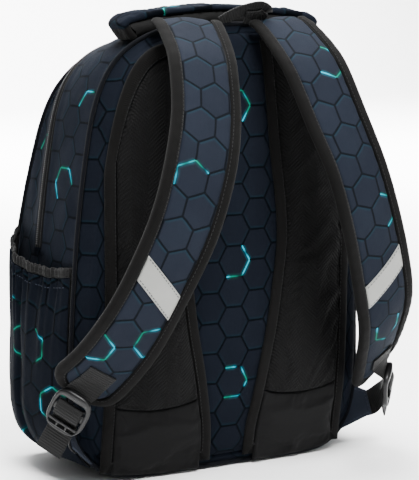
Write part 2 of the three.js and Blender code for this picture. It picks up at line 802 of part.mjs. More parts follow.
// The ladder lock: a frame with two slots round a middle bar and three small eyes.
function lock(name, frame) {
  const plate = roundedPath(new THREE.Shape(), 0, 0, lockWidth, lockLength, lockCorner);
  const slotCentre = (lockBar + lockSlot) / 2;
  const slotLength = webbingWidth + 2;
  for (const way of [-1, 1]) {
    plate.holes.push(roundedPath(new THREE.Path(), 0, way * slotCentre, slotLength, lockSlot, 1));
  }
  const eyeLine = mix(lockBar / 2 + lockSlot, lockLength / 2, 0.55);
  for (const place of [-1, 0, 1]) {
    const x = place * lockEyeLength * 1.5;
    plate.holes.push(roundedPath(new THREE.Path(), x, eyeLine, lockEyeLength, lockEyeWidth, lockEyeWidth / 2));
  }
  const geometry = new THREE.ExtrudeGeometry(plate, {
    depth: lockThickness,
    bevelEnabled: false,
    curveSegments: 2,
    steps: 1,
  });
  const { side } = frame;
  const merged = weld(geometry);
  const points = merged.points.map((p) => mirrored(inLock(frame, p.x, p.y, p.z - lockThickness / 2), side));
  addBody(name, points, merged.faces, "plastic");
}

// Shares the corners that lie in one place.
function weld(geometry) {
  const source = geometry.index ? geometry.toNonIndexed() : geometry;
  const position = source.getAttribute("position");
  const found = new Map();
  const points = [];
  const corners = [];
  for (let i = 0; i < position.count; i += 1) {
    const p = vec(0, 0, 0).fromBufferAttribute(position, i);
    const key = [p.x, p.y, p.z].map((v) => Math.round(v * 1e4)).join();
    if (!found.has(key)) {
      found.set(key, points.length);
      points.push(p);
    }
    corners.push(found.get(key));
  }
  const faces = [];
  for (let i = 0; i < corners.length; i += 3) faces.push(corners.slice(i, i + 3));
  return { points, faces };
}

// The webbing sewn on the strap's end, which reaches out to the lock.
function patch(name, line, frame) {
  const { side } = frame;
  const lift = strapCrown + seamGap + webbingThickness / 2;
  const foot = line.length - strapEndRound * 1.25;
  const places = [0, 0.5, 1].map((t) => {
    const at = strapFrame(line, foot - patchLength * (1 - t));
    const middle = at.middle.clone().addScaledVector(at.facing, lift);
    return { middle, over: at.over, facing: at.facing };
  });
  const last = places[places.length - 1];
  const goal = inLock(frame, 0, -lockLength / 2 - seamGap, 0);
  for (const t of stops(7).slice(1)) {
    const middle = last.middle.clone().lerp(goal, t);
    const over = last.over.clone().lerp(frame.over, t).normalize();
    const facing = last.facing.clone().lerp(frame.facing, t);
    facing.addScaledVector(over, -facing.dot(over)).normalize();
    places.push({ middle, over, facing });
  }
  ribbon(name, places.map((p) => mirrorPlace(p, side, patchWidth, webbingThickness)), "webbing");
}

const mirrorPlace = ({ middle, over, facing }, side, width, thickness) => ({
  middle: mirrored(middle, side),
  over: mirrored(over, side),
  facing: mirrored(facing, side),
  width,
  thickness,
});

// The tab at the body's back seam: its root's middle, its tip and its ways.
function tabFrame(frame) {
  const clear = pipingRadius * 2 + seamGap * 5;
  const seam = (t) => gusset(placeAtHeight(tabFoot + tabRoot * t), 1, 0, clear);
  const root = seam(0.5);
  const goal = inLock(frame, 0, lockLength * 0.5, -lockThickness * 2);
  const way = goal.clone().sub(root).normalize();
  const over = seam(1).sub(seam(0)).normalize();
  over.addScaledVector(way, -over.dot(way)).normalize();
  const facing = vec(0, 0, 0).crossVectors(way, over);
  return { seam, root, way, over, facing };
}

// The tab: sewn along the seam, narrowing to the webbing's width.
function tab(name, frame) {
  const { seam, root, way, over, facing } = tabFrame(frame);
  const rings = stops(5).map((t) => {
    const foot = seam(t);
    const reach = (t - 0.5) * webbingWidth * 0.96;
    const tip = root.clone().addScaledVector(way, tabReach).addScaledVector(over, reach);
    const at = (p, n) => mirrored(p.clone().addScaledVector(facing, n * tabThickness), frame.side);
    return [at(foot, 0.5), at(tip, 0.5), at(tip, -0.5), at(foot, -0.5)];
  });
  loft(name, rings, "navyDark");
}

// The webbing from the tab, through the lock and out to its cut end.
function adjuster(name, frame) {
  const { side } = frame;
  const { root, way, over, facing } = tabFrame(frame);
  const lift = (tabThickness + webbingThickness) / 2 + seamGap;
  const away = facing.dot(frame.facing) < 0 ? -1 : 1;
  const sewn = [0.45, 1.1].map((t) =>
    root.clone().addScaledVector(way, tabReach * t).addScaledVector(facing, lift * away),
  );
  const through = threading.map(({ along, out }) => inLock(frame, 0, along * lockLength, out * lockThickness));
  const end = inLock(frame, 0, tailLength, -lockThickness * 0.5);
  const curve = new THREE.CatmullRomCurve3([...sewn, ...through, end], false, "centripetal");
  const count = 36;
  const places = stops(count).map((t) => {
    const middle = curve.getPoint(t);
    const along = curve.getTangent(t);
    const turn = ease(t * 5 - 0.3);
    const cross = over.clone().lerp(frame.over, turn).normalize();
    cross.addScaledVector(along, -cross.dot(along)).normalize();
    const out = vec(0, 0, 0).crossVectors(along, cross);
    return mirrorPlace({ middle, over: cross, facing: out }, side, webbingWidth, webbingThickness);
  });
  ribbon(name, places, "webbing");
}

// The handle's line with the way out of it, at a share from one end to the other.
function handleLine() {
  const rows = handleShape.map(({ across, up }) => ({
    x: (across * handleSpan) / 2,
    z: bagHeight + up * handleRise,
  }));
  const w = placeAcrossTop(rows[0].x * 0.95);
  const depth = depthAt(w, zipLine - handlePlace);
  const foot = gusset(w, 1, depth, seamGap + gripThickness * 0.35);
  const side = [{ x: foot.x, z: foot.z }, ...rows];
  const other = side.slice(0, -1).reverse().map(({ x, z }) => ({ x: -x, z }));
  const points = [...side, ...other].map(({ x, z }) => vec(x, 0, z));
  return new THREE.CatmullRomCurve3(points, false, "centripetal");
}

function handlePart(name, from, to, steps, high, low, finish) {
  const line = handleLine();
  const y = zipLine - handlePlace;
  const rings = stops(steps).map((t) => {
    const share = mix(from, to, t);
    const middle = line.getPointAt(share);
    const way = line.getTangentAt(share);
    const out = vec(way.z, 0, -way.x);
    const at = (c, n) => {
      const p = middle.clone().addScaledVector(out, -n);
      return vec(p.x, y + c * handleDepth * 0.5, p.z);
    };
    const crown = (c) => (high === 0 ? gripThickness * 0.25 * square(c) : 0);
    const places = [-1, -0.55, 0, 0.55, 1];
    const face = places.map((c) => at(c, high + crown(c)));
    const back = places.map((c) => at(c, low));
    return [...face, ...back.reverse()];
  });
  loft(name, rings, finish);
}

// The loop of webbing between the straps' roots, leaning to the +X side.
function hangLoop() {
  const points = loopShape.map(({ across, up, back }) =>
    vec(across * loopSpan, zipLine - loopPlace - back * loopWidth, bagHeight + up * loopRise),
  );
  const curve = new THREE.CatmullRomCurve3(points, false, "centripetal");
  const places = stops(18).map((t) => {
    const middle = curve.getPointAt(t);
    const way = curve.getTangentAt(t);
    const over = vec(0, 1, 0);
    over.addScaledVector(way, -over.dot(way)).normalize();
    const facing = vec(0, 0, 0).crossVectors(way, over);
    return { middle, over, facing, width: loopWidth, thickness: loopThickness };
  });
  ribbon("hang_loop", places, "webbing");
}

body();
backPanel();
piping("panel_piping", 0, pipingRadius);
piping("front_piping", 1, frontPipingRadius);
zip();
slider();
for (const [word, side] of [["left", -1], ["right", 1]]) {
  const line = strapLine(strapLetOut[word]);
  const frame = lockFrame(side, strapLetOut[word]);
  pad(`mesh_pad_${word}`, side, "mesh", true);
  pad(`lower_pad_${word}`, side, "smooth", false);
  padBinding(`pad_binding_${word}`, side);
  pocket(`side_pocket_${word}`, side);
  pocketElastic(`pocket_elastic_${word}`, side);
  strapPad(`shoulder_strap_${word}`, line, side);
  strapBinding(`strap_binding_${word}`, line, side);
  reflector(`reflector_${word}`, line, side);
  patch(`webbing_patch_${word}`, line, frame);
  lock(`ladder_lock_${word}`, frame);
  tab(`anchor_tab_${word}`, frame);
  adjuster(`adjuster_webbing_${word}`, frame);
}
handlePart("handle", 0, 1, 24, 0, gripThickness, "navy");
handlePart(
  "handle_lining", 0.13, 0.87, 12, gripThickness + seamGap, gripThickness + seamGap + handleLining, "twill",
);
hangLoop();

export default bag;
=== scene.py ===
# A school backpack with honeycomb cloth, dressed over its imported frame.
import math
from functools import partialmethod
import bpy
import numpy as np
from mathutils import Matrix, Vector


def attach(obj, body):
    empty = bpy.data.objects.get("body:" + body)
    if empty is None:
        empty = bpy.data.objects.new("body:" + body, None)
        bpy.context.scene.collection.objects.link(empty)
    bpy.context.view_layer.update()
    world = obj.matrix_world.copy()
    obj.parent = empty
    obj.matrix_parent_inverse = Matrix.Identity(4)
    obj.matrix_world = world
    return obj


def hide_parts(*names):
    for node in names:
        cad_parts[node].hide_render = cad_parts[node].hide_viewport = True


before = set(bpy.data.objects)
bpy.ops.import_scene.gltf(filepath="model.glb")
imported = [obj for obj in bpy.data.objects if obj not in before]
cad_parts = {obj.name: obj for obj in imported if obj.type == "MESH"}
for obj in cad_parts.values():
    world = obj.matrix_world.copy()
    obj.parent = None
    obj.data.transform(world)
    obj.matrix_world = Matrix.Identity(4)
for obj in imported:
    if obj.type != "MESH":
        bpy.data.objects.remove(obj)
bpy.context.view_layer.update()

MM = 0.001

# Sizes in millimetres, as the solids have them.
HEIGHT, HALF = 414.0, 153.0
BACK, FRONT, ZIP = 102.0, 60.0, 14.0
WALL, SWELL, DOME, NARROWING, DROP, LIFT = 3.0, 3.0, 17.0, 3.0, 16.0, 5.0
GAP, BASE_MARGIN, REAR_MARGIN = 0.4, 0.08, 0.04
PANEL_ROUND, PANEL_TAPER, CROWN = 12.0, 7.0, 8.0
PAD_REACH, PAD_TOP, PAD_ARCH, PAD_FOOT, PAD_SEAM, PAD_DIP = 130.0, 401.0, 116.0, 10.0, 66.0, 6.0
BINDING = 11.0
STRAP_WIDTH, STRAP_THICK, STRAP_ROOT, STRAP_EDGE = 67.0, 8.5, 5.0, 5.5
STAND_OFF, STRAP_BINDING, END_ROUND = 86.0, 10.5, 22.0
SIDES = {"left": -1.0, "right": 1.0}
LET_OUT = {"left": 0.0, "right": 13.0}
WEBBING = 25.0
LOCK_LENGTH, LOCK_WIDTH, LOCK_THICK = 40.0, 37.0, 3.6

OUTLINE = [
    ((0, 0), (0.556, 0)),
    ((0.556, 0), (0.837, 0), (1, 0.053), (1, 0.181)),
    ((1, 0.181), (1, 0.411), (0.954, 0.58), (0.876, 0.761)),
    ((0.876, 0.761), (0.81, 0.918), (0.654, 0.998), (0.196, 1)),
    ((0.196, 1), (0, 1)),
]
PROFILE_UP = [0, 0.03, 0.09, 0.165, 0.25, 0.45, 0.6, 0.72, 0.83, 0.925, 1]
SEAM = [0.815, 0.775, 0.742, 0.735, 0.735, 0.745, 0.745, 0.75, 0.765, 0.8, 0.9]
FACE = [0.85, 0.862, 0.9, 0.95, 0.98, 1, 1, 1, 1, 1, 0.985]
FRONT_SEAM = [0.8, 0.86, 0.93, 0.98, 1, 1, 0.85, 0.67, 0.46, 0.24, 0.18]
COLUMN_UP = [0, 0.09, 0.165, 0.25, 0.33, 0.42, 0.52, 0.61, 0.72, 0.835, 0.925, 1]
COLUMN = [0.138, 0.146, 0.185, 0.235, 0.285, 0.325, 0.36, 0.346, 0.3, 0.262, 0.23, 0.19]
POCKET_UP = [0, 0.1, 0.25, 0.5, 0.8, 1]
POCKET_REAR = [0.03, 0.45, 0.85, 1, 0.8, 0.4]
POCKET_FORE = [0.03, 0.5, 0.95, 1, 0.95, 1.1]
STRAP_ROUTE = [
    (0.314, -0.02, 1.014, 0, 0),
    (0.324, 0.1, 1.004, 0, 0),
    (0.356, 0.42, 0.954, 0, -0.06),
    (0.38, 0.57, 0.918, 0, -0.04),
    (0.438, 0.808, 0.819, 0.03, 0.014),
    (0.53, 0.965, 0.713, 0.145, 0.11),
    (0.634, 0.983, 0.597, 0.39, 0.076),
    (0.748, 0.878, 0.488, 0.54, -0.03),
    (0.86, 0.703, 0.386, 0.6, -0.06),
    (0.957, 0.36, 0.29, 0.62, -0.02),
    (1.059, -0.035, 0.214, 0.69, -0.02),
]


# Number helpers.
def mix(a, b, t):
    return a + (b - a) * t


def ease(t):
    c = np.clip(t, 0, 1)
    return c * c * (3 - 2 * c)


def read(xs, ys, at):
    xs = np.asarray(xs, float)
    ys = np.asarray(ys, float)
    at = np.clip(np.asarray(at, float), xs[0], xs[-1])
    slope = np.empty_like(ys)
    slope[1:-1] = (ys[2:] - ys[:-2]) / (xs[2:] - xs[:-2])
    slope[0] = (ys[1] - ys[0]) / (xs[1] - xs[0])
    slope[-1] = (ys[-1] - ys[-2]) / (xs[-1] - xs[-2])
    i = np.clip(np.searchsorted(xs, at, side="right") - 1, 0, len(xs) - 2)
    span = xs[i + 1] - xs[i]
    t = (at - xs[i]) / span
    rise = t * t * (3 - 2 * t)
    bend = (1 - t) * slope[i] - t * slope[i + 1]
    return mix(ys[i], ys[i + 1], rise) + span * t * (1 - t) * bend


def hash2(ix, iy, seed):
    h = (ix.astype(np.int64) * 374761393 + iy.astype(np.int64) * 668265263 + seed * 974711) & 0x7FFFFFFF
    h = ((h ^ (h >> 13)) * 1274126177) & 0x7FFFFFFF
    return ((h ^ (h >> 16)) & 0xFFFF) / 65535.0


def wave_noise(x, y, seed=0):
    ix, iy = np.floor(x), np.floor(y)
    fx, fy = ease(x - ix), ease(y - iy)
    a = mix(hash2(ix, iy, seed), hash2(ix + 1, iy, seed), fx)
    b = mix(hash2(ix, iy + 1, seed), hash2(ix + 1, iy + 1, seed), fx)
    return mix(a, b, fy) * 2 - 1


def soft_noise(x, y, seed=0, octaves=3):
    total, size = 0.0, 1.0
    for k in range(octaves):
        total = total + wave_noise(x / size, y / size, seed + k * 17) * size
        size *= 0.5
    return total / 1.75


def unit(v):
    return v / np.maximum(np.linalg.norm(v, axis=-1, keepdims=True), 1e-9)


def arc_length(path):
    """The distance travelled up to each point of a path."""
    return np.concatenate([[0], np.cumsum(np.linalg.norm(np.diff(path, axis=0), axis=1))])


def along_path(at, arc, path):
    return np.stack([np.interp(at, arc, path[:, k]) for k in range(3)], -1)


def square_to(way, v):
    """The part of v that stands square to way, at unit length."""
    return unit(v - way * np.sum(v * way, -1, keepdims=True))


def squared(turn, power):
    """Cosine and sine of each angle, pressed towards a rounded square."""
    return [np.sign(c) * np.abs(c) ** power for c in (np.cos(turn), np.sin(turn))]


# Meshes from grids of points in millimetres.
def add_mesh(name, points, faces, uv=None, material=None, replaces=()):
    mesh = bpy.data.meshes.new(name)
    faces = faces.tolist() if hasattr(faces, "tolist") else faces
    mesh.from_pydata((np.asarray(points) * MM).tolist(), [], faces)
    if uv is not None:
        layer = mesh.uv_layers.new(name="UVMap")
        layer.data.foreach_set("uv", np.asarray(uv, np.float32).ravel() * MM)
    mesh.polygons.foreach_set("use_smooth", [True] * len(mesh.polygons))
    mesh.update()
    piece = bpy.data.objects.new(name, mesh)
    bpy.context.scene.collection.objects.link(piece)
    mesh.materials.append(material)
    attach(piece, "root")
    if replaces:
        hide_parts(*replaces)
    return piece


def grid_faces(rows, columns, start=0):
    """Quads between rings of points, each ring closed on itself."""
    r = np.arange(rows - 1)[:, None]
    c = np.arange(columns)[None, :]
    a = start + r * columns + c
    b = start + r * columns + (c + 1) % columns
    return np.stack([a, b, b + columns, a + columns], axis=-1).reshape(-1, 4)


def grid_uv(u, v):
    """Face-corner coordinates; u and v have one more column than the points."""
    uv = np.stack([u, v], -1)
    return np.stack([uv[:-1, :-1], uv[:-1, 1:], uv[1:, 1:], uv[1:, :-1]], axis=2).reshape(-1, 2)


def outward(points, quads):
    a, b, c, d = (points[quads[:, k]] for k in range(4))
    return (a * (np.cross(b, c) + np.cross(c, d))).sum() >= 0


def loft_piece(name, rings, u, v, material, replaces=(), closed=False):
    """rings: R x C x 3, sections wrapped; u and v: R x (C + 1), or one more row when closed."""
    rows, columns, _ = rings.shape
    points = rings.reshape(-1, 3)
    quads = grid_faces(rows + closed, columns) % len(points)
    uv = grid_uv(u[:rows + closed], v[:rows + closed])
    if not closed:
        i = np.arange(columns // 2 - 1)
        j = columns - 1 - i
        base = (rows - 1) * columns
        first = np.stack([i, j, j - 1, i + 1], -1)
        last = np.stack([base + i, base + i + 1, base + j - 1, base + j], -1)
        quads = np.concatenate([quads, first, last])
        for row, order in ((0, (0, 1, 2, 3)), (rows - 1, (0, 3, 2, 1))):
            cu = np.stack([u[row, i], u[row, i], u[row, i + 1], u[row, i + 1]], -1)
            cv = np.stack([v[row, i], v[row, i] + 2, v[row, i + 1] + 2, v[row, i + 1]], -1)
            uv = np.concatenate([uv, np.stack([cu, cv], -1)[:, order].reshape(-1, 2)])
    if not outward(points, quads):
        quads = quads[:, ::-1]
        uv = uv.reshape(-1, 4, 2)[:, ::-1].reshape(-1, 2)
    return add_mesh(name, points, quads, uv, material, replaces)


def sheet_section(face, back):
    """Joins the face points and the back points of each ring."""
    return np.concatenate([face, back[:, ::-1]], axis=1)


def sheet_coords(u, v):
    """Coordinates for a section of face points and reversed back points, plus the closing column."""
    return [np.concatenate([a, a[:, ::-1], a[:, :1]], axis=1) for a in (u, v)]


def spread(across, along):
    """Coordinates that change over the columns and over the rows of a grid."""
    shape = (len(along), len(across))
    return np.broadcast_to(across, shape), np.broadcast_to(np.asarray(along, float)[:, None], shape)


def line_back(piece, rows, columns, material):
    """Gives the back faces of a sheet piece a second material."""
    piece.data.materials.append(material)
    index = np.zeros(len(piece.data.polygons), int)
    total = (rows - 1) * 2 * columns
    index[:total] = np.arange(total) % (2 * columns) >= columns - 1
    piece.data.polygons.foreach_set("material_index", index)


# The outline seen from the front.
def build_outline():
    w, p, o, s = [], [], [], []
    total = 0.0
    for index, points in enumerate(OUTLINE):
        q = np.array(points, float) * [HALF, HEIGHT]
        t = np.linspace(0, 1, 241)[:, None]
        if len(q) == 2:
            line = mix(q[0], q[1], t)
            way = np.repeat((q[1] - q[0])[None], len(t), 0)
        else:
            r = 1 - t
            line = r ** 3 * q[0] + 3 * r ** 2 * t * q[1] + 3 * r * t ** 2 * q[2] + t ** 3 * q[3]
            way = 3 * (r ** 2 * (q[1] - q[0]) + 2 * r * t * (q[2] - q[1]) + t ** 2 * (q[3] - q[2]))
        arc = arc_length(line)
        way = unit(way)
        keep = slice(0, None if index == len(OUTLINE) - 1 else -1)
        w.append((index + arc / arc[-1])[keep])
        p.append(line[keep])
        o.append(np.stack([way[:, 1], -way[:, 0]], -1)[keep])
        s.append((total + arc)[keep])
        total += arc[-1]
    return [np.concatenate(x) for x in (w, p, o, s)]


LINE_W, LINE_P, LINE_O, LINE_S = build_outline()
GIRTH = LINE_S[-1]


def outline(w, side):
    x, z, ox, oz = (np.interp(w, LINE_W, a) for a in (*LINE_P.T, *LINE_O.T))
    return x * side, z, ox * side, oz


def folded(s):
    """The place and the side of each length round the whole outline."""
    return place_at_length(np.where(s <= GIRTH, s, 2 * GIRTH - s)), np.where(s <= GIRTH, 1.0, -1.0)


def length_at(w):
    return np.interp(w, LINE_W, LINE_S)


def place_at_length(s):
    return np.interp(s, LINE_S, LINE_W)


def place_at_height(z):
    part = (LINE_W >= 1) & (LINE_W <= 4)
    return np.interp(z, LINE_P[part, 1], LINE_W[part])


def place_across_top(x):
    part = LINE_W >= 3
    return np.interp(-np.asarray(x, float), -LINE_P[part, 0], LINE_W[part])


def around(count):
    """Places all round the outline with their side and their length from the bottom's middle."""
    s = np.linspace(0, 2 * GIRTH, count, endpoint=False)
    return *folded(s), s


def seam_y(z):
    return ZIP - BACK * read(PROFILE_UP, SEAM, z / HEIGHT)


def front_y(z):
    return ZIP + FRONT * read(PROFILE_UP, FRONT_SEAM, z / HEIGHT)


def face_y(x, z):
    return ZIP - BACK * read(PROFILE_UP, FACE, z / HEIGHT) + CROWN * (x / HALF) ** 2


def gusset(w, side, depth, off):
    w, side, depth, off = np.broadcast_arrays(w, side, depth, off)
    x, z, ox, oz = outline(w, side)
    top, base = np.maximum(0, oz), np.maximum(0, -oz)
    y = mix(seam_y(z), front_y(z), depth)
    swell = (SWELL * np.sin(np.pi * depth) - NARROWING * depth ** 2) * (1 - base)
    rise = np.maximum(1 - depth / REAR_MARGIN, 1 - (1 - depth) / BASE_MARGIN)
    lift = LIFT * base * np.maximum(0, rise)
    push = off + swell
    return np.stack([x + ox * push, y, z + oz * push + lift - DROP * depth ** 2 * top], -1)


def depth_at(w, y):
    z = outline(w, 1)[1]
    return (y - seam_y(z)) / (front_y(z) - seam_y(z))


# Node materials.
class Net:
    """A small writer for node trees."""

    def __init__(self, name):
        self.material = bpy.data.materials.new(name)
        self.material.use_nodes = True
        self.tree = self.material.node_tree
        self.tree.nodes.clear()
        output = self.new("OutputMaterial")
        self.shader = self.new("BsdfPrincipled")
        self.tree.links.new(self.shader.outputs[0], output.inputs[0])
        self.coords = self.new("TexCoord")

    def new(self, kind, **values):
        """A node with settings and number sockets given by name."""
        node = self.tree.nodes.new("ShaderNode" + kind)
        for name, value in values.items():
            if hasattr(node, name):
                setattr(node, name, value)
            else:
                node.inputs[name].default_value = value
        return node

    def put(self, socket, value):
        if hasattr(value, "links"):
            self.tree.links.new(value, socket)
        elif value is not None:
            if isinstance(value, (tuple, list)) and len(value) == 3 and socket.type == "RGBA":
                value = (*value, 1)
            socket.default_value = value

    def put_all(self, sockets, values):
        for socket, value in zip(sockets, values):
            self.put(socket, value)

    def calc(self, kind, a, b=None, c=None, clamp=False):
        node = self.new("Math", operation=kind, use_clamp=clamp)
        self.put_all(node.inputs, (a, b, c))
        return node.outputs[0]

    add = partialmethod(calc, "ADD")
    sub = partialmethod(calc, "SUBTRACT")
    mul = partialmethod(calc, "MULTIPLY")
    mul_add = partialmethod(calc, "MULTIPLY_ADD")
    sine = partialmethod(calc, "SINE")

    def ribs(self, value, period):
        """Waves from 0 to 1 with the given period."""
        return self.mul_add(self.sine(self.mul(value, 2 * math.pi / period)), 0.5, 0.5)

    def vector(self, kind, a, b=None, scale=None):
        node = self.new("VectorMath", operation=kind)
        self.put_all(node.inputs, (a, b))
        if scale is not None:
            self.put(node.inputs["Scale"], scale)
        return node.outputs["Value"] if kind in ("DOT_PRODUCT", "LENGTH") else node.outputs[0]

    def mix(self, factor, a, b, kind="RGBA"):
        node = self.new("Mix", data_type=kind)
        first, result = {"RGBA": (6, 2), "VECTOR": (4, 1)}[kind]
        self.put_all((node.inputs[0], node.inputs[first], node.inputs[first + 1]), (factor, a, b))
        return node.outputs[result]

    def smooth(self, value, low, high, to_low=0.0, to_high=1.0):
        node = self.new("MapRange", interpolation_type="SMOOTHSTEP")
        self.put_all(node.inputs, (value, low, high, to_low, to_high))
        return node.outputs[0]

    def noise(self, vector, scale, detail=2.0, rough=0.5):
        node = self.new("TexNoise", Scale=scale, Detail=detail, Roughness=rough)
        self.put(node.inputs["Vector"], vector)
        return node.outputs[0]

    def white(self, vector):
        node = self.new("TexWhiteNoise", noise_dimensions="3D")
        self.put(node.inputs["Vector"], vector)
        return node.outputs["Value"]

    def split(self, vector):
        node = self.new("SeparateXYZ")
        self.put(node.inputs[0], vector)
        return node.outputs

    def join(self, x, y, z=0.0):
        node = self.new("CombineXYZ")
        self.put_all(node.inputs, (x, y, z))
        return node.outputs[0]

    def bump(self, height, strength, distance, normal=None):
        node = self.new("Bump", Strength=strength, Distance=distance)
        self.put(node.inputs["Height"], height)
        self.put(node.inputs["Normal"], normal)
        return node.outputs[0]

    def uv(self):
        return self.coords.outputs["UV"]

    def place(self):
        return self.coords.outputs["Object"]

    def finish(self, colour, rough, normal=None, sheen=0.0, sheen_rough=0.5, specular=0.3):
        values = {"Base Color": colour, "Roughness": rough, "Normal": normal, "Sheen Weight": sheen,
                  "Sheen Roughness": sheen_rough, "Specular IOR Level": specular}
        for name, value in values.items():
            self.put(self.shader.inputs[name], value)
        return self.material


def weave(net, pitch):
    """Plain weave: threads over and under in both directions, from 0 to 1."""
    x, y, _ = net.split(net.uv())
    a = net.mul(x, math.pi / pitch)
    b = net.mul(y, math.pi / pitch)
    warp = net.calc("ABSOLUTE", net.sine(a))
    weft = net.calc("ABSOLUTE", net.sine(b))
    turn = net.mul(net.sine(a), net.sine(b))
    over = net.calc("GREATER_THAN", turn, 0.0)
    return net.add(net.mul(warp, over), net.mul(weft, net.sub(1.0, over)))


def hexagons(net, vector, size):
    """Distance to the nearest cell edge, the cell, the edge's middle and the way towards the edge."""
    p = net.vector("MULTIPLY", net.vector("SCALE", vector, scale=1.0 / size), (1, 1, 0))
    step = (1.0, 1.7320508, 1.0)
    half = (0.5, 0.8660254, 0.0)

    def folded(q):
        part = net.vector("FRACTION", net.vector("DIVIDE", q, step))
        return net.vector("SUBTRACT", net.vector("MULTIPLY", part, step), half)

    a = folded(p)
    b = folded(net.vector("SUBTRACT", p, half))
    nearer = net.calc("LESS_THAN", net.vector("DOT_PRODUCT", a, a), net.vector("DOT_PRODUCT", b, b))
    g = net.mix(nearer, b, a, "VECTOR")
    ways = ((1.0, 0.0, 0.0), (0.5, 0.8660254, 0.0), (0.5, -0.8660254, 0.0))
    dots = [net.vector("DOT_PRODUCT", g, w) for w in ways]
    sizes = [net.calc("ABSOLUTE", d) for d in dots]
    signs = [net.calc("SIGN", d) for d in dots]
    best = net.calc("MAXIMUM", sizes[0], net.calc("MAXIMUM", sizes[1], sizes[2]))
    edge = net.sub(0.5, best)
    pick = [net.calc("GREATER_THAN", s, net.sub(best, 1e-5)) for s in sizes[:2]]
    signed = [net.vector("SCALE", w, scale=s) for w, s in zip(ways, signs)]
    way = net.mix(pick[0], net.mix(pick[1], signed[2], signed[1], "VECTOR"), signed[0], "VECTOR")
    cell = net.vector("SUBTRACT", p, g)
    middle = net.vector("ADD", cell, net.vector("SCALE", way, scale=0.5))
    return edge, cell, middle, way


CELL = 0.0285


def cell_near(x, y):
    """The middle of the nearest cell of the honeycomb."""
    tall = CELL * math.sqrt(3)
    first = (round(x / CELL) * CELL, round(y / tall) * tall)
    second = ((math.floor(x / CELL) + 0.5) * CELL, (math.floor(y / tall) + 0.5) * tall)
    return min((first, second), key=lambda c: math.hypot(c[0] - x, c[1] - y))


NAVY = (0.0032, 0.0044, 0.0077)
NAVY_HIGH = (0.0095, 0.0124, 0.0192)
NAVY_GAP = (0.001, 0.0017, 0.003)
EDGE_BLUE = (0.006, 0.02, 0.03)
LIT_GREEN = (0.001, 0.1, 0.066)
LIT_CYAN = (0.003, 0.24, 0.34)


def printed_cloth(name, flat_top=False, turn=0.0, lit=(), seed=0.0, shift=(0.0, 0.0), deep=0.0):
    """Navy cloth with a printed honeycomb. lit: (u, v, angle) of half cells whose edges glow. deep: painted
    shade, the share by which the whole colour is darkened.
    """
    net = Net(name)
    x, y, _ = net.split(net.uv())
    if turn:
        c, s = math.cos(turn), math.sin(turn)
        x, y = (net.add(net.mul(x, c), net.mul(y, s)),
                net.sub(net.mul(y, c), net.mul(x, s)))
    x = net.add(x, shift[0])
    y = net.add(y, shift[1])
    base = net.join(y, x) if flat_top else net.join(x, y)
    wobble = net.noise(base, 38.0, 1.0)
    bent = net.vector("ADD", base, net.vector("SCALE", net.join(wobble, wobble), scale=0.0012))
    edge, cell, middle, way = hexagons(net, bent, CELL)
    line = net.smooth(edge, 0.018, 0.052, 1.0, 0.0)
    halo = net.smooth(edge, 0.03, 0.13, 1.0, 0.0)
    wx, wy, _ = net.split(way)
    lower = net.sub(0.0, wx if flat_top else wy)
    lower = net.smooth(lower, 0.1, 0.9)
    cell_tone = net.white(net.vector("SNAP", net.vector("ADD", cell, (0.25, 0.25, 0.0)), (0.25, 0.25, 1.0)))
    cloud = net.noise(net.place(), 22.0, 3.0)
    grain = net.noise(net.place(), 1500.0, 1.0)
    tone = net.add(net.mul(cell_tone, 0.22), net.mul(cloud, 0.6))
    tone = net.add(tone, net.mul(grain, 0.35), clamp=True)
    ground = net.mix(tone, NAVY, NAVY_HIGH)
    ground = net.mix(net.mul(net.mul(halo, lower), 0.55), ground, EDGE_BLUE)
    ground = net.mix(net.mul(line, 0.92), ground, NAVY_GAP)
    # deep darkens the whole colour: painted shade for pieces that lie in shade.
    ground = net.vector("SCALE", ground, scale=1.0 - deep)
    spot = 0.0
    real = net.vector("SCALE", middle, scale=CELL)
    for u, v, angle in lit:
        at = (v + shift[1], u + shift[0]) if flat_top else (u + shift[0], v + shift[1])
        centre = (*cell_near(*at), 0.0)
        c, d = math.cos(math.radians(angle)), math.sin(math.radians(angle))
        ahead = (d, c, 0.0) if flat_top else (c, d, 0.0)
        away = net.vector("SUBTRACT", real, centre)
        near = net.calc("LESS_THAN", net.vector("LENGTH", away), CELL * 0.6)
        front = net.calc("GREATER_THAN", net.vector("DOT_PRODUCT", away, ahead), -0.15 * CELL)
        near = net.mul(near, front)
        spot = net.calc("MAXIMUM", spot, near) if spot != 0.0 else near
    if lit:
        tint = net.noise(net.vector("ADD", base, (seed, seed, 0.0)), 42.0, 1.0)
        glow = net.smooth(edge, 0.016, 0.036, 1.0, 0.0)
        soft = net.smooth(edge, 0.02, 0.13, 1.0, 0.0)
        fade = net.smooth(net.noise(net.vector("ADD", base, (seed * 2, 1.0, 0.0)), 60.0, 1.0), 0.3, 0.52)
        on = net.mul(spot, fade)
        colour = net.mix(net.smooth(tint, 0.46, 0.6), LIT_GREEN, LIT_CYAN)
        ground = net.mix(net.mul(net.mul(soft, on), 0.12), ground, colour)
        ground = net.mix(net.mul(glow, on), ground, colour)
    thread = weave(net, 0.00055)
    height = net.add(net.mul(thread, 0.35), net.mul(line, -0.5))
    normal = net.bump(height, 0.35, 0.0003)
    normal = net.bump(net.noise(net.place(), 90.0, 3.0), 0.12, 0.002, normal)
    return net.finish(ground, 0.85, normal, sheen=0.006, sheen_rough=0.4, specular=0.02 if deep else 0.06)


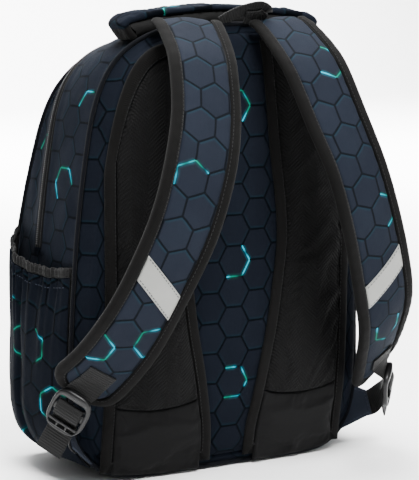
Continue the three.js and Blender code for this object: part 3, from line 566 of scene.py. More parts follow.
def tape_material(name, pitch=0.0042, dark=(0.0001, 0.0001, 0.0001), light=(0.0042, 0.004, 0.0038)):
    """Herringbone binding tape: diagonal ribs that turn at each stripe."""
    net = Net(name)
    u, v, _ = net.split(net.uv())
    stripe = net.calc("PINGPONG", net.add(u, 1.0), pitch)
    rib = net.ribs(net.add(v, net.mul(stripe, 1.3)), 0.0019)
    fuzz = net.noise(net.place(), 420.0, 3.0)
    wear = net.noise(net.place(), 26.0, 3.0)
    tone = net.mul(net.mul_add(rib, 0.62, net.mul(fuzz, 0.5)), net.mul_add(wear, 0.9, 0.3), clamp=True)
    normal = net.bump(net.mul_add(fuzz, 0.3, rib), 0.5, 0.0004)
    return net.finish(net.mix(tone, dark, light), 0.9, normal, sheen=0.02, specular=0.08)


def webbing_material(name, dark=(0.0002, 0.0002, 0.0002), light=(0.0034, 0.0034, 0.0035)):
    """Ribbed webbing: cross ribs with fine lengthwise threads."""
    net = Net(name)
    u, v, _ = net.split(net.uv())
    rib = net.ribs(v, 0.0024)
    thread = net.ribs(u, 0.0011)
    fuzz = net.noise(net.place(), 600.0)
    tone = net.mul(net.mul_add(thread, 0.35, rib), net.mul_add(fuzz, 0.5, 0.45), clamp=True)
    normal = net.bump(net.mul_add(thread, 0.3, rib), 0.6, 0.0005)
    return net.finish(net.mix(tone, dark, light), 0.7, normal, sheen=0.02, specular=0.18)


def mesh_material(name):
    """Spacer mesh: slanted open-knit cells between raised ribs, in a herringbone."""
    net = Net(name)
    u, v, _ = net.split(net.uv())
    fold = net.calc("PINGPONG", net.add(u, 1.0), 0.0165)
    slant = net.add(v, net.mul(fold, -0.85))
    rib = net.ribs(slant, 0.0036)
    hole = net.mul(net.ribs(net.add(u, net.mul(slant, 0.4)), 0.0027), rib)
    opened = net.smooth(hole, 0.42, 0.72)
    fuzz = net.noise(net.place(), 500.0)
    tone = net.mul(net.mul_add(rib, 0.5, 0.3), net.mul_add(fuzz, 0.8, 0.4))
    colour = net.mix(tone, (0.0003, 0.0003, 0.0003), (0.0052, 0.0052, 0.0055))
    # The open cells are painted near black: painted shade inside the holes.
    colour = net.mix(opened, colour, (0.0001, 0.0001, 0.0001))
    normal = net.bump(net.sub(rib, net.mul(opened, 0.9)), 0.8, 0.0008)
    return net.finish(colour, 0.85, normal, sheen=0.01, specular=0.1)


def plain_cloth(name, dark=(0.0004, 0.0004, 0.0005), light=(0.0019, 0.0019, 0.0021), pitch=0.0007):
    net = Net(name)
    thread = weave(net, pitch)
    cloud = net.noise(net.place(), 30.0, 3.0)
    grain = net.noise(net.place(), 900.0)
    tone = net.mul_add(cloud, 0.7, net.mul(grain, 0.4), clamp=True)
    normal = net.bump(thread, 0.35, 0.0003)
    normal = net.bump(net.noise(net.place(), 70.0, 3.0), 0.15, 0.002, normal)
    return net.finish(net.mix(tone, dark, light), 0.72, normal, sheen=0.01, specular=0.1)


def elastic_material(name):
    net = Net(name)
    u, v, _ = net.split(net.uv())
    rib = net.ribs(u, 0.0017)
    course = net.ribs(v, 0.003)
    fuzz = net.noise(net.place(), 500.0)
    ridge = net.mul_add(course, 0.4, rib)
    tone = net.mul(ridge, net.mul_add(fuzz, 0.6, 0.3), clamp=True)
    colour = net.mix(tone, (0.001, 0.001, 0.001), (0.009, 0.009, 0.009))
    return net.finish(colour, 0.85, net.bump(ridge, 0.6, 0.0006), sheen=0.02, specular=0.1)


def reflective_material(name):
    net = Net(name)
    grid = weave(net, 0.0011)
    cloud = net.noise(net.place(), 35.0, 3.0)
    bead = net.noise(net.place(), 2500.0, 1.0)
    scuff = net.smooth(net.noise(net.place(), 120.0, 5.0, 0.7), 0.62, 0.8)
    tone = net.mul_add(cloud, 0.8, net.mul(bead, 0.3), clamp=True)
    colour = net.mix(tone, (0.135, 0.138, 0.126), (0.205, 0.208, 0.194))
    colour = net.mix(net.mul(scuff, 0.35), colour, (0.2, 0.2, 0.2))
    normal = net.bump(net.mul_add(grid, 0.3, bead), 0.2, 0.0002)
    return net.finish(colour, 0.42, normal, sheen=0.1, specular=0.55)


def plastic_material(name, dark=(0.002, 0.002, 0.0022), light=(0.0045, 0.0046, 0.005)):
    net = Net(name)
    grain = net.noise(net.place(), 900.0, 3.0)
    cloud = net.noise(net.place(), 60.0, 3.0)
    long_grain = net.vector("MULTIPLY", net.place(), (60.0, 900.0, 120.0))
    scratch = net.smooth(net.noise(long_grain, 1.0, 3.0), 0.66, 0.75)
    colour = net.mix(cloud, dark, light)
    colour = net.mix(net.mul(scratch, 0.35), colour, (0.04, 0.04, 0.04))
    return net.finish(colour, net.mul_add(grain, 0.2, 0.3), net.bump(grain, 0.12, 0.0002))


def thread_material(name, colour):
    net = Net(name)
    twist = net.noise(net.place(), 1400.0)
    tone = net.mix(twist, colour, tuple(c * 2.2 for c in colour))
    return net.finish(tone, 0.7, net.bump(twist, 0.3, 0.0002), sheen=0.02, specular=0.15)


# Lit half cells on each piece: a place in metres of its own coordinates and the angle the lit half faces.
LIT = {
    "gusset": [(-0.47, -0.035, 200), (-0.395, -0.03, 150), (-0.43, 0.035, 180), (-0.30, -0.04, 30),
               (-0.2, 0.03, 180), (0.46, -0.045, 20), (0.40, -0.02, 200), (0.26, 0.03, 90),
               (0.18, -0.03, 330)],
    "panel": [(0.0, 0.087, 0), (0.008, 0.2, -20), (0.004, 0.345, 30), (-0.135, 0.115, 90), (0.137, 0.1, 200)],
    "strap_left": [(0.02, 0.17, -60), (-0.01, 0.318, 20), (0.014, 0.35, 160)],
    "strap_right": [(0.0, 0.062, 30), (0.02, 0.212, 0), (0.006, 0.33, 90)],
    "pocket": [(0.028, 0.152, 160), (0.01, 0.118, 0), (-0.028, 0.115, 180), (0.02, 0.05, 230),
               (-0.045, 0.06, 20)],
    "front": [(-0.06, 0.3, 40), (-0.035, 0.275, 200), (0.075, 0.19, 120), (0.05, 0.165, 0),
              (-0.03, 0.09, 300), (0.03, 0.33, 80)],
    "handle": [(0.004, 0.113, 0), (-0.008, 0.17, 90)],
}

LIT["gusset"] = [(u if u > 0 else 2 * GIRTH * MM + u, v, a) for u, v, a in LIT["gusset"]]

# The deep values darken the gusset, panel, pocket and handle cloth; on the gusset, panel and pocket this is
# painted shade.
CLOTH = {key: printed_cloth("cloth_" + key, lit=LIT[key], **look) for key, look in {
    "gusset": dict(seed=1.3, deep=0.3),
    "panel": dict(flat_top=True, seed=2.1, deep=0.45),
    "strap_left": dict(seed=3.7, shift=(0.006, 0.0)),
    "strap_right": dict(seed=4.9, shift=(0.0, 0.008)),
    "pocket": dict(seed=5.2, deep=0.55),
    "front": dict(seed=6.6),
    "handle": dict(seed=7.4, deep=0.35),
}.items()}
TWILL = tape_material("twill_tape")
PIPING = tape_material("piping_tape", 0.003, (0.0004, 0.0006, 0.0012), (0.0016, 0.0022, 0.0042))
WEB = webbing_material("ribbed_webbing")
MESH = mesh_material("air_mesh")
SMOOTH = plain_cloth("smooth_cloth")
LINING = plain_cloth("lining_cloth", (0.0015, 0.0015, 0.0015), (0.005, 0.005, 0.005))
TAB = plain_cloth("tab_cloth", (0.005, 0.007, 0.012), (0.011, 0.0145, 0.023))
ELASTIC = elastic_material("pocket_elastic")
TAPE = plain_cloth("zip_tape", (0.0004, 0.0004, 0.0005), (0.0018, 0.0018, 0.0022), 0.0009)
REFLECT = reflective_material("reflective_tape")
PLASTIC = plastic_material("lock_plastic")
COIL = plastic_material("zip_coil", (0.0015, 0.0015, 0.0017), (0.006, 0.006, 0.0066))
SLIDER = plastic_material("slider_lacquer", (0.003, 0.003, 0.0034), (0.01, 0.01, 0.011))
DARK_THREAD = thread_material("dark_thread", (0.006, 0.006, 0.0064))
GREY_THREAD = thread_material("grey_thread", (0.016, 0.016, 0.017))
NAVY_THREAD = thread_material("navy_thread", (0.006, 0.008, 0.014))


# Stitches and small repeated things.
def stitch_row(path, facing, length, gap, radius):
    """Capsule points along a path in millimetres; returns vertices and faces."""
    path = np.asarray(path)
    facing = np.broadcast_to(np.asarray(facing, float), path.shape)
    step = arc_length(path)
    count = int((step[-1] + gap) // (length + gap))
    if count < 1:
        return np.zeros((0, 3)), np.zeros((0, 4), int)
    starts = np.arange(count) * (length + gap) + (step[-1] - count * (length + gap) + gap) / 2
    verts, faces = [], []
    ring = np.array([[math.cos(a), math.sin(a)] for a in np.linspace(0, 2 * math.pi, 5)[:-1]])
    places = np.array([0.0, 0.18, 0.82, 1.0]) * length
    sizes = (0.35, 1.0, 1.0, 0.35)
    sink = np.array([-0.5, 0.25, 0.25, -0.5])[:, None] * radius
    for start in starts:
        centre = along_path(start + places, step, path)
        out = unit(along_path(start + places, step, facing))
        side = unit(np.cross(unit(centre[-1:] - centre[:1]), out))
        base = len(verts)
        for k, size in enumerate(sizes):
            for c, s in ring:
                swing = (side[k] * c * 1.15 + out[k] * s * 0.8) * radius * size
                verts.append(centre[k] + swing + out[k] * sink[k])
        for a in range(base, base + 12, 4):
            for i in range(4):
                j = (i + 1) % 4
                faces.append([a + i, a + j, a + 4 + j, a + 4 + i])
        faces.append([base + 3, base + 2, base + 1, base])
        faces.append([base + 12, base + 13, base + 14, base + 15])
    return np.array(verts), np.array(faces)


def stitches(name, rows, material, slot, **size):
    verts, faces, start = [], [], 0
    for path, facing in rows:
        v, f = stitch_row(path, facing, **size)
        if len(v):
            verts.append(v)
            faces.append(f + start)
            start += len(v)
    return add_mesh(name, np.concatenate(verts), np.concatenate(faces), None, material)


# The body: gusset with base, and front panel.
def gusset_relief(w, depth, s):
    """Wrinkles and puckers of the gusset, outwards in millimetres."""
    x, z = outline(w, 1)[:2]
    y = mix(seam_y(z), front_y(z), depth)
    edge = np.minimum(depth, 1 - depth)
    ends = ease(edge / 0.03)
    on_floor = ease((12 - z) / 8) * ease((86 - np.abs(x)) / 12)
    pucker = 0.35 * np.sin(s / 3.1 + 2.4 * wave_noise(s / 23, y / 30, 4)) * np.exp(-edge * 18)
    broad = 1.5 * soft_noise(s / 62, y / 38, 7) + 0.55 * soft_noise(s / 19 + y / 60, y / 16, 12)
    near_zip = np.exp(-((np.abs(y - ZIP) - 9) / 4.5) ** 2) * (z > 206)
    crease = -1.5 * np.exp(-((y - 40 + 6 * wave_noise(s / 50, 0 * y, 3)) / 7) ** 2) * ease((z - 225) / 30)
    return ends * (pucker + broad * (1 - on_floor) * 0.8 + 0.9 * near_zip + crease) * (1 - on_floor)


def body_cloth():
    count, rows = 560, 84
    w, side, s = around(count)
    depth = np.sort(np.concatenate([np.linspace(0, 1, rows - 4), [0.004, 0.012, 0.988, 0.996]]))
    ww, dd = np.meshgrid(w, depth)
    outer = gusset(ww, side, dd, gusset_relief(ww, dd, np.broadcast_to(s, ww.shape)))
    base = np.maximum(0, -outline(ww, 1)[3])
    flat = (base > 0.999) & (np.minimum(dd, 1 - dd) > BASE_MARGIN)
    outer[..., 2] = np.where(flat, np.maximum(outer[..., 2], 0.0), outer[..., 2])
    inner = gusset(ww, side, 0.01 + dd * 0.98, -WALL)
    rings = np.concatenate([outer, inner[::-1]], axis=0).transpose(1, 0, 2)
    y = outer[..., 1].T
    v = sheet_coords(y, y)[1]
    v = np.concatenate([v, v[:1]])
    u = np.broadcast_to(np.concatenate([s, [2 * GIRTH]])[:, None], v.shape)
    return loft_piece("gusset_cloth", rings, u, v, CLOTH["gusset"], ("bag_body",),
                      closed=True)


def disc_piece(name, rings, back_rings, coords, material, node):
    """A dished skin of rings round its middle, with a back skin; coords are (u, v) in millimetres."""
    rows, columns, _ = rings.shape
    middle = HEIGHT / 2
    pole, back_pole = (np.array([0, skin[-1, :, 1].mean(), middle]) for skin in (rings, back_rings))
    points = np.concatenate([rings.reshape(-1, 3), back_rings.reshape(-1, 3), pole[None], back_pole[None]])
    first = rows * columns
    quads = grid_faces(rows, columns)
    turned = grid_faces(len(back_rings), columns, first)[:, ::-1]
    c = np.arange(columns)
    n = (c + 1) % columns
    rim = np.stack([first + c, first + n, n, c], -1)
    flat = np.concatenate([coords.reshape(-1, 2), back_rings[..., [0, 2]].reshape(-1, 2),
                           [[0, middle]], [back_pole[[0, 2]]]])
    last, back_last = first - columns, len(points) - 2 - columns
    fan = np.stack([last + c, last + n, np.full(columns, len(points) - 2)], -1)
    back_fan = np.stack([back_last + n, back_last + c, np.full(columns, len(points) - 1)], -1)
    faces = [q.tolist() for q in np.concatenate([quads, turned, rim])] + fan.tolist() + back_fan.tolist()
    a, b, d = points[quads[:, 0]], points[quads[:, 1]], points[quads[:, 2]]
    facing = np.cross(b - a, d - a).mean(0)[1]
    if (facing > 0) != (rings[-1].mean(0)[1] > back_rings[-1].mean(0)[1]):
        faces = [f[::-1] for f in faces]
    uv = np.concatenate([flat[f] for f in faces])
    return add_mesh(name, points, faces, uv, material, (node,))


def front_cloth():
    w, side, s = around(420)
    ww, kk = np.meshgrid(w, np.linspace(1, 0.02, 64))
    ss = np.broadcast_to(side, ww.shape)
    mid = HEIGHT / 2

    def skin(inward, relief):
        edge_z = outline(ww, ss)[1]
        rim = gusset(ww, ss, 1.0, -inward)
        x = rim[..., 0] * kk
        z = mix(mid, rim[..., 2], kk)
        y = front_y(mix(mid, edge_z, kk)) + DOME * (1 - kk ** 2) - inward
        if relief:
            ends = ease((1 - kk) / 0.06)
            pucker = 0.3 * np.sin(np.broadcast_to(s, ww.shape) / 3.3) * np.exp(-(1 - kk) * 22)
            broad = 1.6 * soft_noise(x / 55, z / 70, 31) + 0.5 * soft_noise(x / 21, z / 24, 35)
            y = y + ends * broad + pucker * ends
        return np.stack([x, y, z], -1)

    outer, inner = skin(0.0, True), skin(WALL, False)[::6]
    coords = np.stack([-outer[..., 0], outer[..., 2]], -1)
    return disc_piece("front_cloth", outer, inner, coords, CLOTH["front"], "bag_body")


# The back panel: from its seam round the padded edge and over the face.
def panel_points(w, side, rows):
    seam = seam_y(outline(w, side)[1]) - GAP

    def rim(inset):
        p = gusset(w, side, 0.0, -inset)
        return p[:, 0], p[:, 2]

    layers = []
    steps = [(0, 0, 0), (0.18, 0.2, 0.6), (0.42, 0.42, 0.55), (0.7, 0.66, 0.5), (0.9, 0.86, 0.5),
             (1.0, 1.0, 0.55)]
    for inset, share, sink in steps:
        x, z = rim(PANEL_TAPER * inset)
        layers.append(np.stack([x, mix(seam, face_y(x, z) + PANEL_ROUND * sink, share), z], -1))
    for angle in np.linspace(0.35, math.pi / 2, 7)[:-1]:
        x, z = rim(PANEL_TAPER + PANEL_ROUND * (1 - math.cos(angle)))
        sink = 0.55 * (1 - math.sin(angle))
        layers.append(np.stack([x, face_y(x, z) + PANEL_ROUND * sink, z], -1))
    fx, fz = rim(PANEL_TAPER + PANEL_ROUND)
    for k in np.linspace(1, 0.03, rows):
        x, z = fx * k, mix(HEIGHT / 2, fz, k)
        layers.append(np.stack([x, face_y(x, z), z], -1))
    return np.array(layers)


def panel_relief(x, z):
    column = PAD_REACH * read(COLUMN_UP, COLUMN, z / HEIGHT)
    inside = np.abs(x) / np.maximum(column, 1)
    hump = 2.2 * np.clip(1 - inside ** 2, 0, 1) ** 0.5 * ease((392 - z) / 20)
    tuck = -0.8 * np.exp(-((np.abs(x) - column) / 4) ** 2)
    ripple = 0.8 * soft_noise(x / 24, z / 46, 51) + 0.35 * soft_noise(x / 9 + z / 40, z / 17, 57)
    pull = 0.4 * np.sin(z / 4.2 + 2 * wave_noise(z / 31, x / 20, 5)) * np.exp(-((inside - 0.95) / 0.16) ** 2)
    return hump + tuck + ripple * np.clip(1.15 - inside, 0.25, 1) + pull


def panel_cloth():
    face_rows = 72
    w, side, s = around(460)
    layers = panel_points(w, side, face_rows)
    head = len(layers) - face_rows
    x, z = layers[..., 0], layers[..., 2]
    fade = np.ones(len(layers))
    fade[:head] = np.linspace(0, 1, head) ** 2
    layers[..., 1] -= panel_relief(x, z) * fade[:, None]
    edge = 0.5 * soft_noise(np.broadcast_to(s, x.shape) / 26, np.arange(len(layers))[:, None] / 5 + 0 * x, 61)
    bell = np.sin(np.linspace(0, np.pi, head))[:, None]
    layers[:head, :, 0] += (edge[:head] * bell) * np.sign(x[:head])
    inner = []
    for inset, share, sink in ((5, 1, None), (17, 1, 15), (29, 1, 10), (29, 0.6, 10), (29, 0.2, 10)):
        p = gusset(w, side, 0.0, -inset)
        px, pz = p[:, 0] * share, mix(HEIGHT / 2, p[:, 2], share)
        y = seam_y(outline(w, side)[1]) - GAP if sink is None else face_y(px, pz) + sink
        inner.append(np.stack([px, y, pz], -1))
    out = np.clip(1 - np.arange(len(layers)) / head, 0, None)[:, None]
    ox, oz = outline(w, side)[2:]
    coords = np.stack([x + out * 14 * np.sign(x) * np.abs(ox), z + out * 10 * oz], -1)
    return disc_piece("panel_cloth", layers, np.array(inner), coords, CLOTH["panel"], "back_panel")


def cord_piece(name, depth, radius, node, sides=12, count=620):
    w, side, s = around(count)
    r = (radius + 0.12 * wave_noise(s / 9, 0 * s, 71))[:, None]
    centre = gusset(w, side, depth, radius * 0.8)
    ox, oz = outline(w, side)[2:]
    angle = np.linspace(0, 2 * np.pi, sides, endpoint=False)
    rings = np.stack([centre[:, 0:1] + ox[:, None] * (r * np.cos(angle)),
                      centre[:, 1:2] + r * np.sin(angle),
                      centre[:, 2:3] + oz[:, None] * (r * np.cos(angle))], -1)
    u, v = spread(np.linspace(0, 2 * np.pi * radius, sides + 1), [*s, 2 * GIRTH])
    return loft_piece(name, rings, u, v, PIPING, (node,), closed=True)


# Pads and their bindings.
def pad_point(side, across, up, inset, off):
    across, up, inset, off = np.broadcast_arrays(across, up, inset, off)
    share = inset / BINDING
    arch = PAD_ARCH * (1 - 0.18 * share)
    top = PAD_TOP - inset - arch * np.power(np.clip(across, 0, 1), 5 - 1.5 * share)
    z = mix(PAD_FOOT + inset, top, up)
    column = PAD_REACH * read(COLUMN_UP, COLUMN, z / HEIGHT) + inset
    x = side * mix(column, PAD_REACH - inset, across)
    return np.stack([x, face_y(x, z) - off, z], -1)


def pad_seam(across):
    arch = PAD_ARCH * 0.82
    foot = PAD_FOOT + BINDING
    top = PAD_TOP - BINDING - arch * np.power(np.clip(across, 0, 1), 3.5)
    return (PAD_SEAM + PAD_DIP * (2 * across - 1) ** 2 - foot) / (top - foot)


def held_edges(rows, columns):
    """Which points of a sheet piece are held: its whole back and the edges of its face."""
    pinned = np.zeros((rows, 2 * columns), bool)
    pinned[:, columns:] = True
    pinned[:, [0, columns - 1]] = True
    pinned[[0, -1]] = True
    return pinned.ravel()


def puff(piece, pinned, pressure, cap):
    """Swells a closed pad as pressed cloth, held at its pinned points, each point's travel kept small."""
    group = piece.vertex_groups.new(name="held")
    group.add([int(i) for i in np.nonzero(pinned)[0]], 1.0, "REPLACE")
    start = np.empty(len(piece.data.vertices) * 3, np.float32)
    piece.data.vertices.foreach_get("co", start)
    start = start.reshape(-1, 3)
    cloth = piece.modifiers.new("cloth", "CLOTH")
    stiffness = 12.0
    values = {"vertex_group_mass": "held", "quality": 5, "mass": 0.3, "tension_stiffness": stiffness,
              "compression_stiffness": stiffness, "shear_stiffness": stiffness * 0.5,
              "bending_stiffness": 0.6, "use_pressure": True, "uniform_pressure_force": pressure,
              "shrink_min": -0.04}
    for name, value in values.items():
        setattr(cloth.settings, name, value)
    cloth.settings.effector_weights.gravity = 0.0
    cloth.collision_settings.use_collision = False
    scene = bpy.context.scene
    for f in range(1, 21):
        scene.frame_set(f)
    shape = piece.evaluated_get(bpy.context.evaluated_depsgraph_get())
    moved = np.empty(len(start) * 3, np.float32)
    shape.data.vertices.foreach_get("co", moved)
    piece.modifiers.remove(cloth)
    piece.vertex_groups.remove(group)
    travel = moved.reshape(-1, 3) - start
    size = np.linalg.norm(travel, axis=1, keepdims=True)
    travel = travel * np.minimum(1, cap * MM / np.maximum(size, 1e-9))
    piece.data.vertices.foreach_set("co", (start + travel).ravel())
    piece.data.update()
    scene.frame_set(1)


def pad_piece(name, side, upper, material, node):
    columns, rows = (46, 150) if upper else (46, 34)
    a = np.linspace(0, 1, columns)
    t = np.linspace(0, 1, rows)[:, None]
    seam = pad_seam(a)
    margin = GAP / HEIGHT
    below = (PAD_FOOT + BINDING - 3.0) / (PAD_TOP - PAD_FOOT - 2 * BINDING)
    place = mix(seam + margin, 1.0, t) if upper else mix(-below, seam - margin, t)
    aa = np.broadcast_to(a, place.shape)
    edge = np.minimum(np.minimum(aa, 1 - aa) * 90, np.minimum(t, 1 - t) * (320 if upper else 46))
    swell = np.sqrt(np.clip(1 - (1 - np.clip(edge / 15, 0, 1)) ** 2, 0, 1))
    inset = BINDING + GAP
    loft = 6.6 if upper else 5.6
    relief = 0.5 * soft_noise(aa * 4, t * 12 + 0 * aa, 81 + int(side)) * swell
    face = pad_point(side, aa, place, inset, 1.8 + (loft - 1.8) * swell + relief)
    back = pad_point(side, aa, place, inset, 0.5)
    flat = pad_point(side, aa, place, inset, 0)
    u, v = sheet_coords(flat[..., 0] * side, flat[..., 2])
    piece = loft_piece(name, sheet_section(face, back), u, v, material, (node,))
    puff(piece, held_edges(rows, columns), 3.0, 1.5)
    return piece


def rim_path(counts):
    """Points round the unit square from its lower left corner, with a count for each side."""
    corners = np.array([[0, 0], [1, 0], [1, 1], [0, 1], [0, 0]], float)
    sides = [mix(corners[k], corners[k + 1], (np.arange(n) / n)[:, None]) for k, n in enumerate(counts)]
    return np.concatenate(sides).T


def pad_binding(name, side, node):
    a, b = rim_path((50, 170, 90, 210))
    width = BINDING - GAP
    shares = [0.0, 0.05, 0.16, 0.35, 0.6, 0.85, 0.97, 1.0, 1.0, 0.5, 0.0]
    highs = [1.3, 2.2, 2.9, 3.3, 3.3, 3.0, 2.5, 1.6, 0.5, 0.5, 0.5]
    spots = pad_point(side, a, b, 5.0, 0)
    length = arc_length(np.concatenate([spots, spots[:1]]))
    lumps = 0.22 * wave_noise(length[:-1] / 11, 0 * length[:-1], 91) + 0.15 * np.sin(length[:-1] / 2.2)
    sunk = np.where((b < 0.001) & (a > 0.02) & (a < 0.98), 0.3, 1.0)
    rings = np.stack([pad_point(side, a, b, width * share, sunk * (high + (lumps * 0.6 if high > 1 else 0)))
                      for share, high in zip(shares, highs)], axis=1)
    u, v = spread(np.array(shares + [0.0]) * width, length)
    loft_piece(name, rings, u, v, TWILL, (node,), closed=True)
    line = pad_point(side, a, b, width * 0.88, 3.05)
    return [(np.concatenate([line, line[:1]]), np.array([0.0, -1.0, 0.0]))]


# Shoulder straps.
def centripetal(points, samples):
    """A smooth path through points, and its share of the way at each sample."""
    p = np.asarray(points, float)
    p = np.vstack([2 * p[0] - p[1], p, 2 * p[-1] - p[-2]])
    out, share = [], []
    for i in range(1, len(p) - 2):
        q = p[i - 1:i + 3]
        spans = np.maximum(np.linalg.norm(np.diff(q, axis=0), axis=1), 1e-6) ** 0.5
        t0, t1, t2, t3 = knots = np.concatenate([[0], np.cumsum(spans)])
        t = np.linspace(knots[1], knots[2], samples, endpoint=False)[:, None]
        a1 = (t1 - t) / (t1 - t0) * q[0] + (t - t0) / (t1 - t0) * q[1]
        a2 = (t2 - t) / (t2 - t1) * q[1] + (t - t1) / (t2 - t1) * q[2]
        a3 = (t3 - t) / (t3 - t2) * q[2] + (t - t2) / (t3 - t2) * q[3]
        b1 = (t2 - t) / (t2 - t0) * a1 + (t - t0) / (t2 - t0) * a2
        b2 = (t3 - t) / (t3 - t1) * a2 + (t - t1) / (t3 - t1) * a3
        out.append((t2 - t) / (t2 - t1) * b1 + (t - t1) / (t2 - t1) * b2)
        share.append((i - 1 + np.arange(samples) / samples) / (len(p) - 3))
    return np.concatenate([*out, p[-2][None]]), np.concatenate([*share, [1.0]])


class Strap:
    """A strap's route with its directions, let out by its own length."""

    def __init__(self, word):
        self.word = word
        self.side = SIDES[word]
        route = np.array(STRAP_ROUTE)
        z = route[:, 2] * HEIGHT
        drop = LET_OUT[word] * (np.maximum(0, z[0] - z) / (z[0] - z[-1])) ** 0.75
        points = np.stack([route[:, 0] * HALF, ZIP - BACK - route[:, 1] * STAND_OFF, z - drop], -1)
        self.curve, share = centripetal(points, 60)
        self.arc = arc_length(self.curve)
        self.length = self.arc[-1]
        self.way = unit(np.gradient(self.curve, self.arc, axis=0))
        places = np.linspace(0, 1, len(route))
        self.rise, self.lead = (read(places, route[:, k], share) for k in (3, 4))

    def frame(self, along):
        along = np.asarray(along, float)
        d = np.clip(along, 0, self.length)
        way = unit(along_path(d, self.arc, self.way))
        middle = along_path(d, self.arc, self.curve) + way * (along - d)[..., None]
        rise = np.interp(d, self.arc, self.rise)
        lead = np.interp(d, self.arc, self.lead)
        over = square_to(way, np.stack([np.sqrt(1 - rise ** 2 - lead ** 2), lead, rise], -1))
        return middle, way, over, np.cross(way, over)

    def point(self, across, along, out):
        across, along, out = np.broadcast_arrays(across, along, out)
        middle, _, over, facing = self.frame(along)
        return (middle + over * across[..., None] + facing * out[..., None]) * [self.side, 1, 1]

    def facing(self, along):
        return self.frame(along)[3] * [self.side, 1, 1]

    def depth(self, along, share):
        full = ease(np.asarray(along) / (STRAP_WIDTH * 1.2))
        thick = mix(STRAP_ROOT, STRAP_THICK, full)
        edge = mix(STRAP_ROOT * 0.8, STRAP_EDGE, full)
        return mix(thick, edge, share ** 2)

    def reach(self, along, gap):
        """Half width between the bindings, drawn in round the lower end."""
        r = END_ROUND - STRAP_BINDING
        past = np.clip(along - (self.length - END_ROUND), 0, r)
        return STRAP_WIDTH / 2 - STRAP_BINDING - gap - (r - np.sqrt(np.maximum(0, r * r - past * past)))


def strap_cloth(strap):
    start = strap.length - END_ROUND
    end = strap.length - STRAP_BINDING - GAP
    rounding = np.sin(np.linspace(0.08, 1, 14) * np.pi / 2) * 0.985
    d = np.concatenate([np.linspace(0, start, 170), start + (end - start) * rounding])
    columns = 33
    dd, cc = np.meshgrid(d, np.linspace(-1, 1, columns), indexing="ij")
    reach = strap.reach(dd, GAP * 0.5)
    rim = (1 - np.abs(cc)) * 24
    edge = np.clip(rim, 0, 1)
    tuck = -1.2 * np.exp(-rim / 1.6)
    pucker = 0.22 * np.sin(dd / 2.6 + 3 * wave_noise(dd / 31, cc, 7)) * np.exp(-rim / 4.5)
    broad = 0.55 * soft_noise(dd / 42, cc * 1.2, 101 + int(strap.side))
    broad = broad + 0.25 * soft_noise(dd / 13, cc * 2.5, 107)
    crown = 2.0 * (1 - cc ** 2)
    face = strap.point(cc * reach, dd, crown + tuck + pucker + broad * edge)
    under = -strap.depth(dd, cc) - 0.6 * (1 - cc ** 2) + 0.4 * soft_noise(dd / 30, cc * 2, 111)
    back = strap.point(cc * reach, dd, under)
    u, v = sheet_coords(cc * reach, dd)
    piece = loft_piece(f"strap_cloth_{strap.word}", sheet_section(face, back), u, v,
                       CLOTH[f"strap_{strap.word}"], (f"shoulder_strap_{strap.word}",))
    line_back(piece, len(d), columns, SMOOTH)
    return piece


def strap_rim(strap, steps):
    """Places round the strap's edge and the way inwards at each: across, along, inwards across and along."""
    edge = STRAP_WIDTH / 2
    flat = edge - END_ROUND
    turn = strap.length - END_ROUND
    arc = np.linspace(0, np.pi / 2, 14)[1:]
    corner = [(flat + END_ROUND * math.cos(t), turn + END_ROUND * math.sin(t), -math.cos(t), -math.sin(t))
              for t in arc]
    rows = [(edge, d, -1.0, 0.0) for d in np.linspace(0, turn, steps)] + corner
    rows += [(x, strap.length, 0.0, -1.0) for x in np.linspace(flat, -flat, 9)[1:]]
    rows += [(-x, y, -ix, iy) for x, y, ix, iy in corner[::-1][1:]]
    rows += [(-edge, d, 1.0, 0.0) for d in np.linspace(turn, 0, steps)]
    return np.array(rows).T


def strap_binding(strap):
    across, along, ix, iy = strap_rim(strap, 190)
    length = arc_length(strap.point(across, along, 0.0))
    deep = strap.depth(along, 1.0) + 0.6
    lumps = 0.25 * wave_noise(length / 13, 0 * length, 121) + 0.12 * np.sin(length / 2.1)

    # The tape's section: how far in, how high over the face, and how far down the strap's depth.
    section = [(1.0, -0.6, 0), (0.97, 0.75, 0), (0.7, 1.2, 0), (0.4, 1.15, 0), (0.18, 0.5, 0), (0.05, 0, 0.18),
               (0.0, 0, 0.42), (0.0, 0, 0.6), (0.05, 0, 0.9), (0.18, 0, 1.12), (0.45, 0, 1.15), (0.97, 0, 1.1),
               (1.0, 0, 0.9), (1.0, 0, 0.1)]
    rings = []
    for inset, high, down in section:
        k = inset * STRAP_BINDING
        out = high - down * deep + (lumps if high > 0 else 0)
        rings.append(strap.point(across + ix * k, along + iy * k, out))
    rings = np.stack(rings, axis=1)
    girth = arc_length(rings[60])
    u, v = spread([*girth, girth[-1] + 5], length)
    loft_piece(f"strap_edge_{strap.word}", rings, u, v, TWILL, (f"strap_binding_{strap.word}",))
    k = STRAP_BINDING * 0.86
    return [(strap.point(across + ix * k, along + iy * k, 1.12), strap.facing(along))]


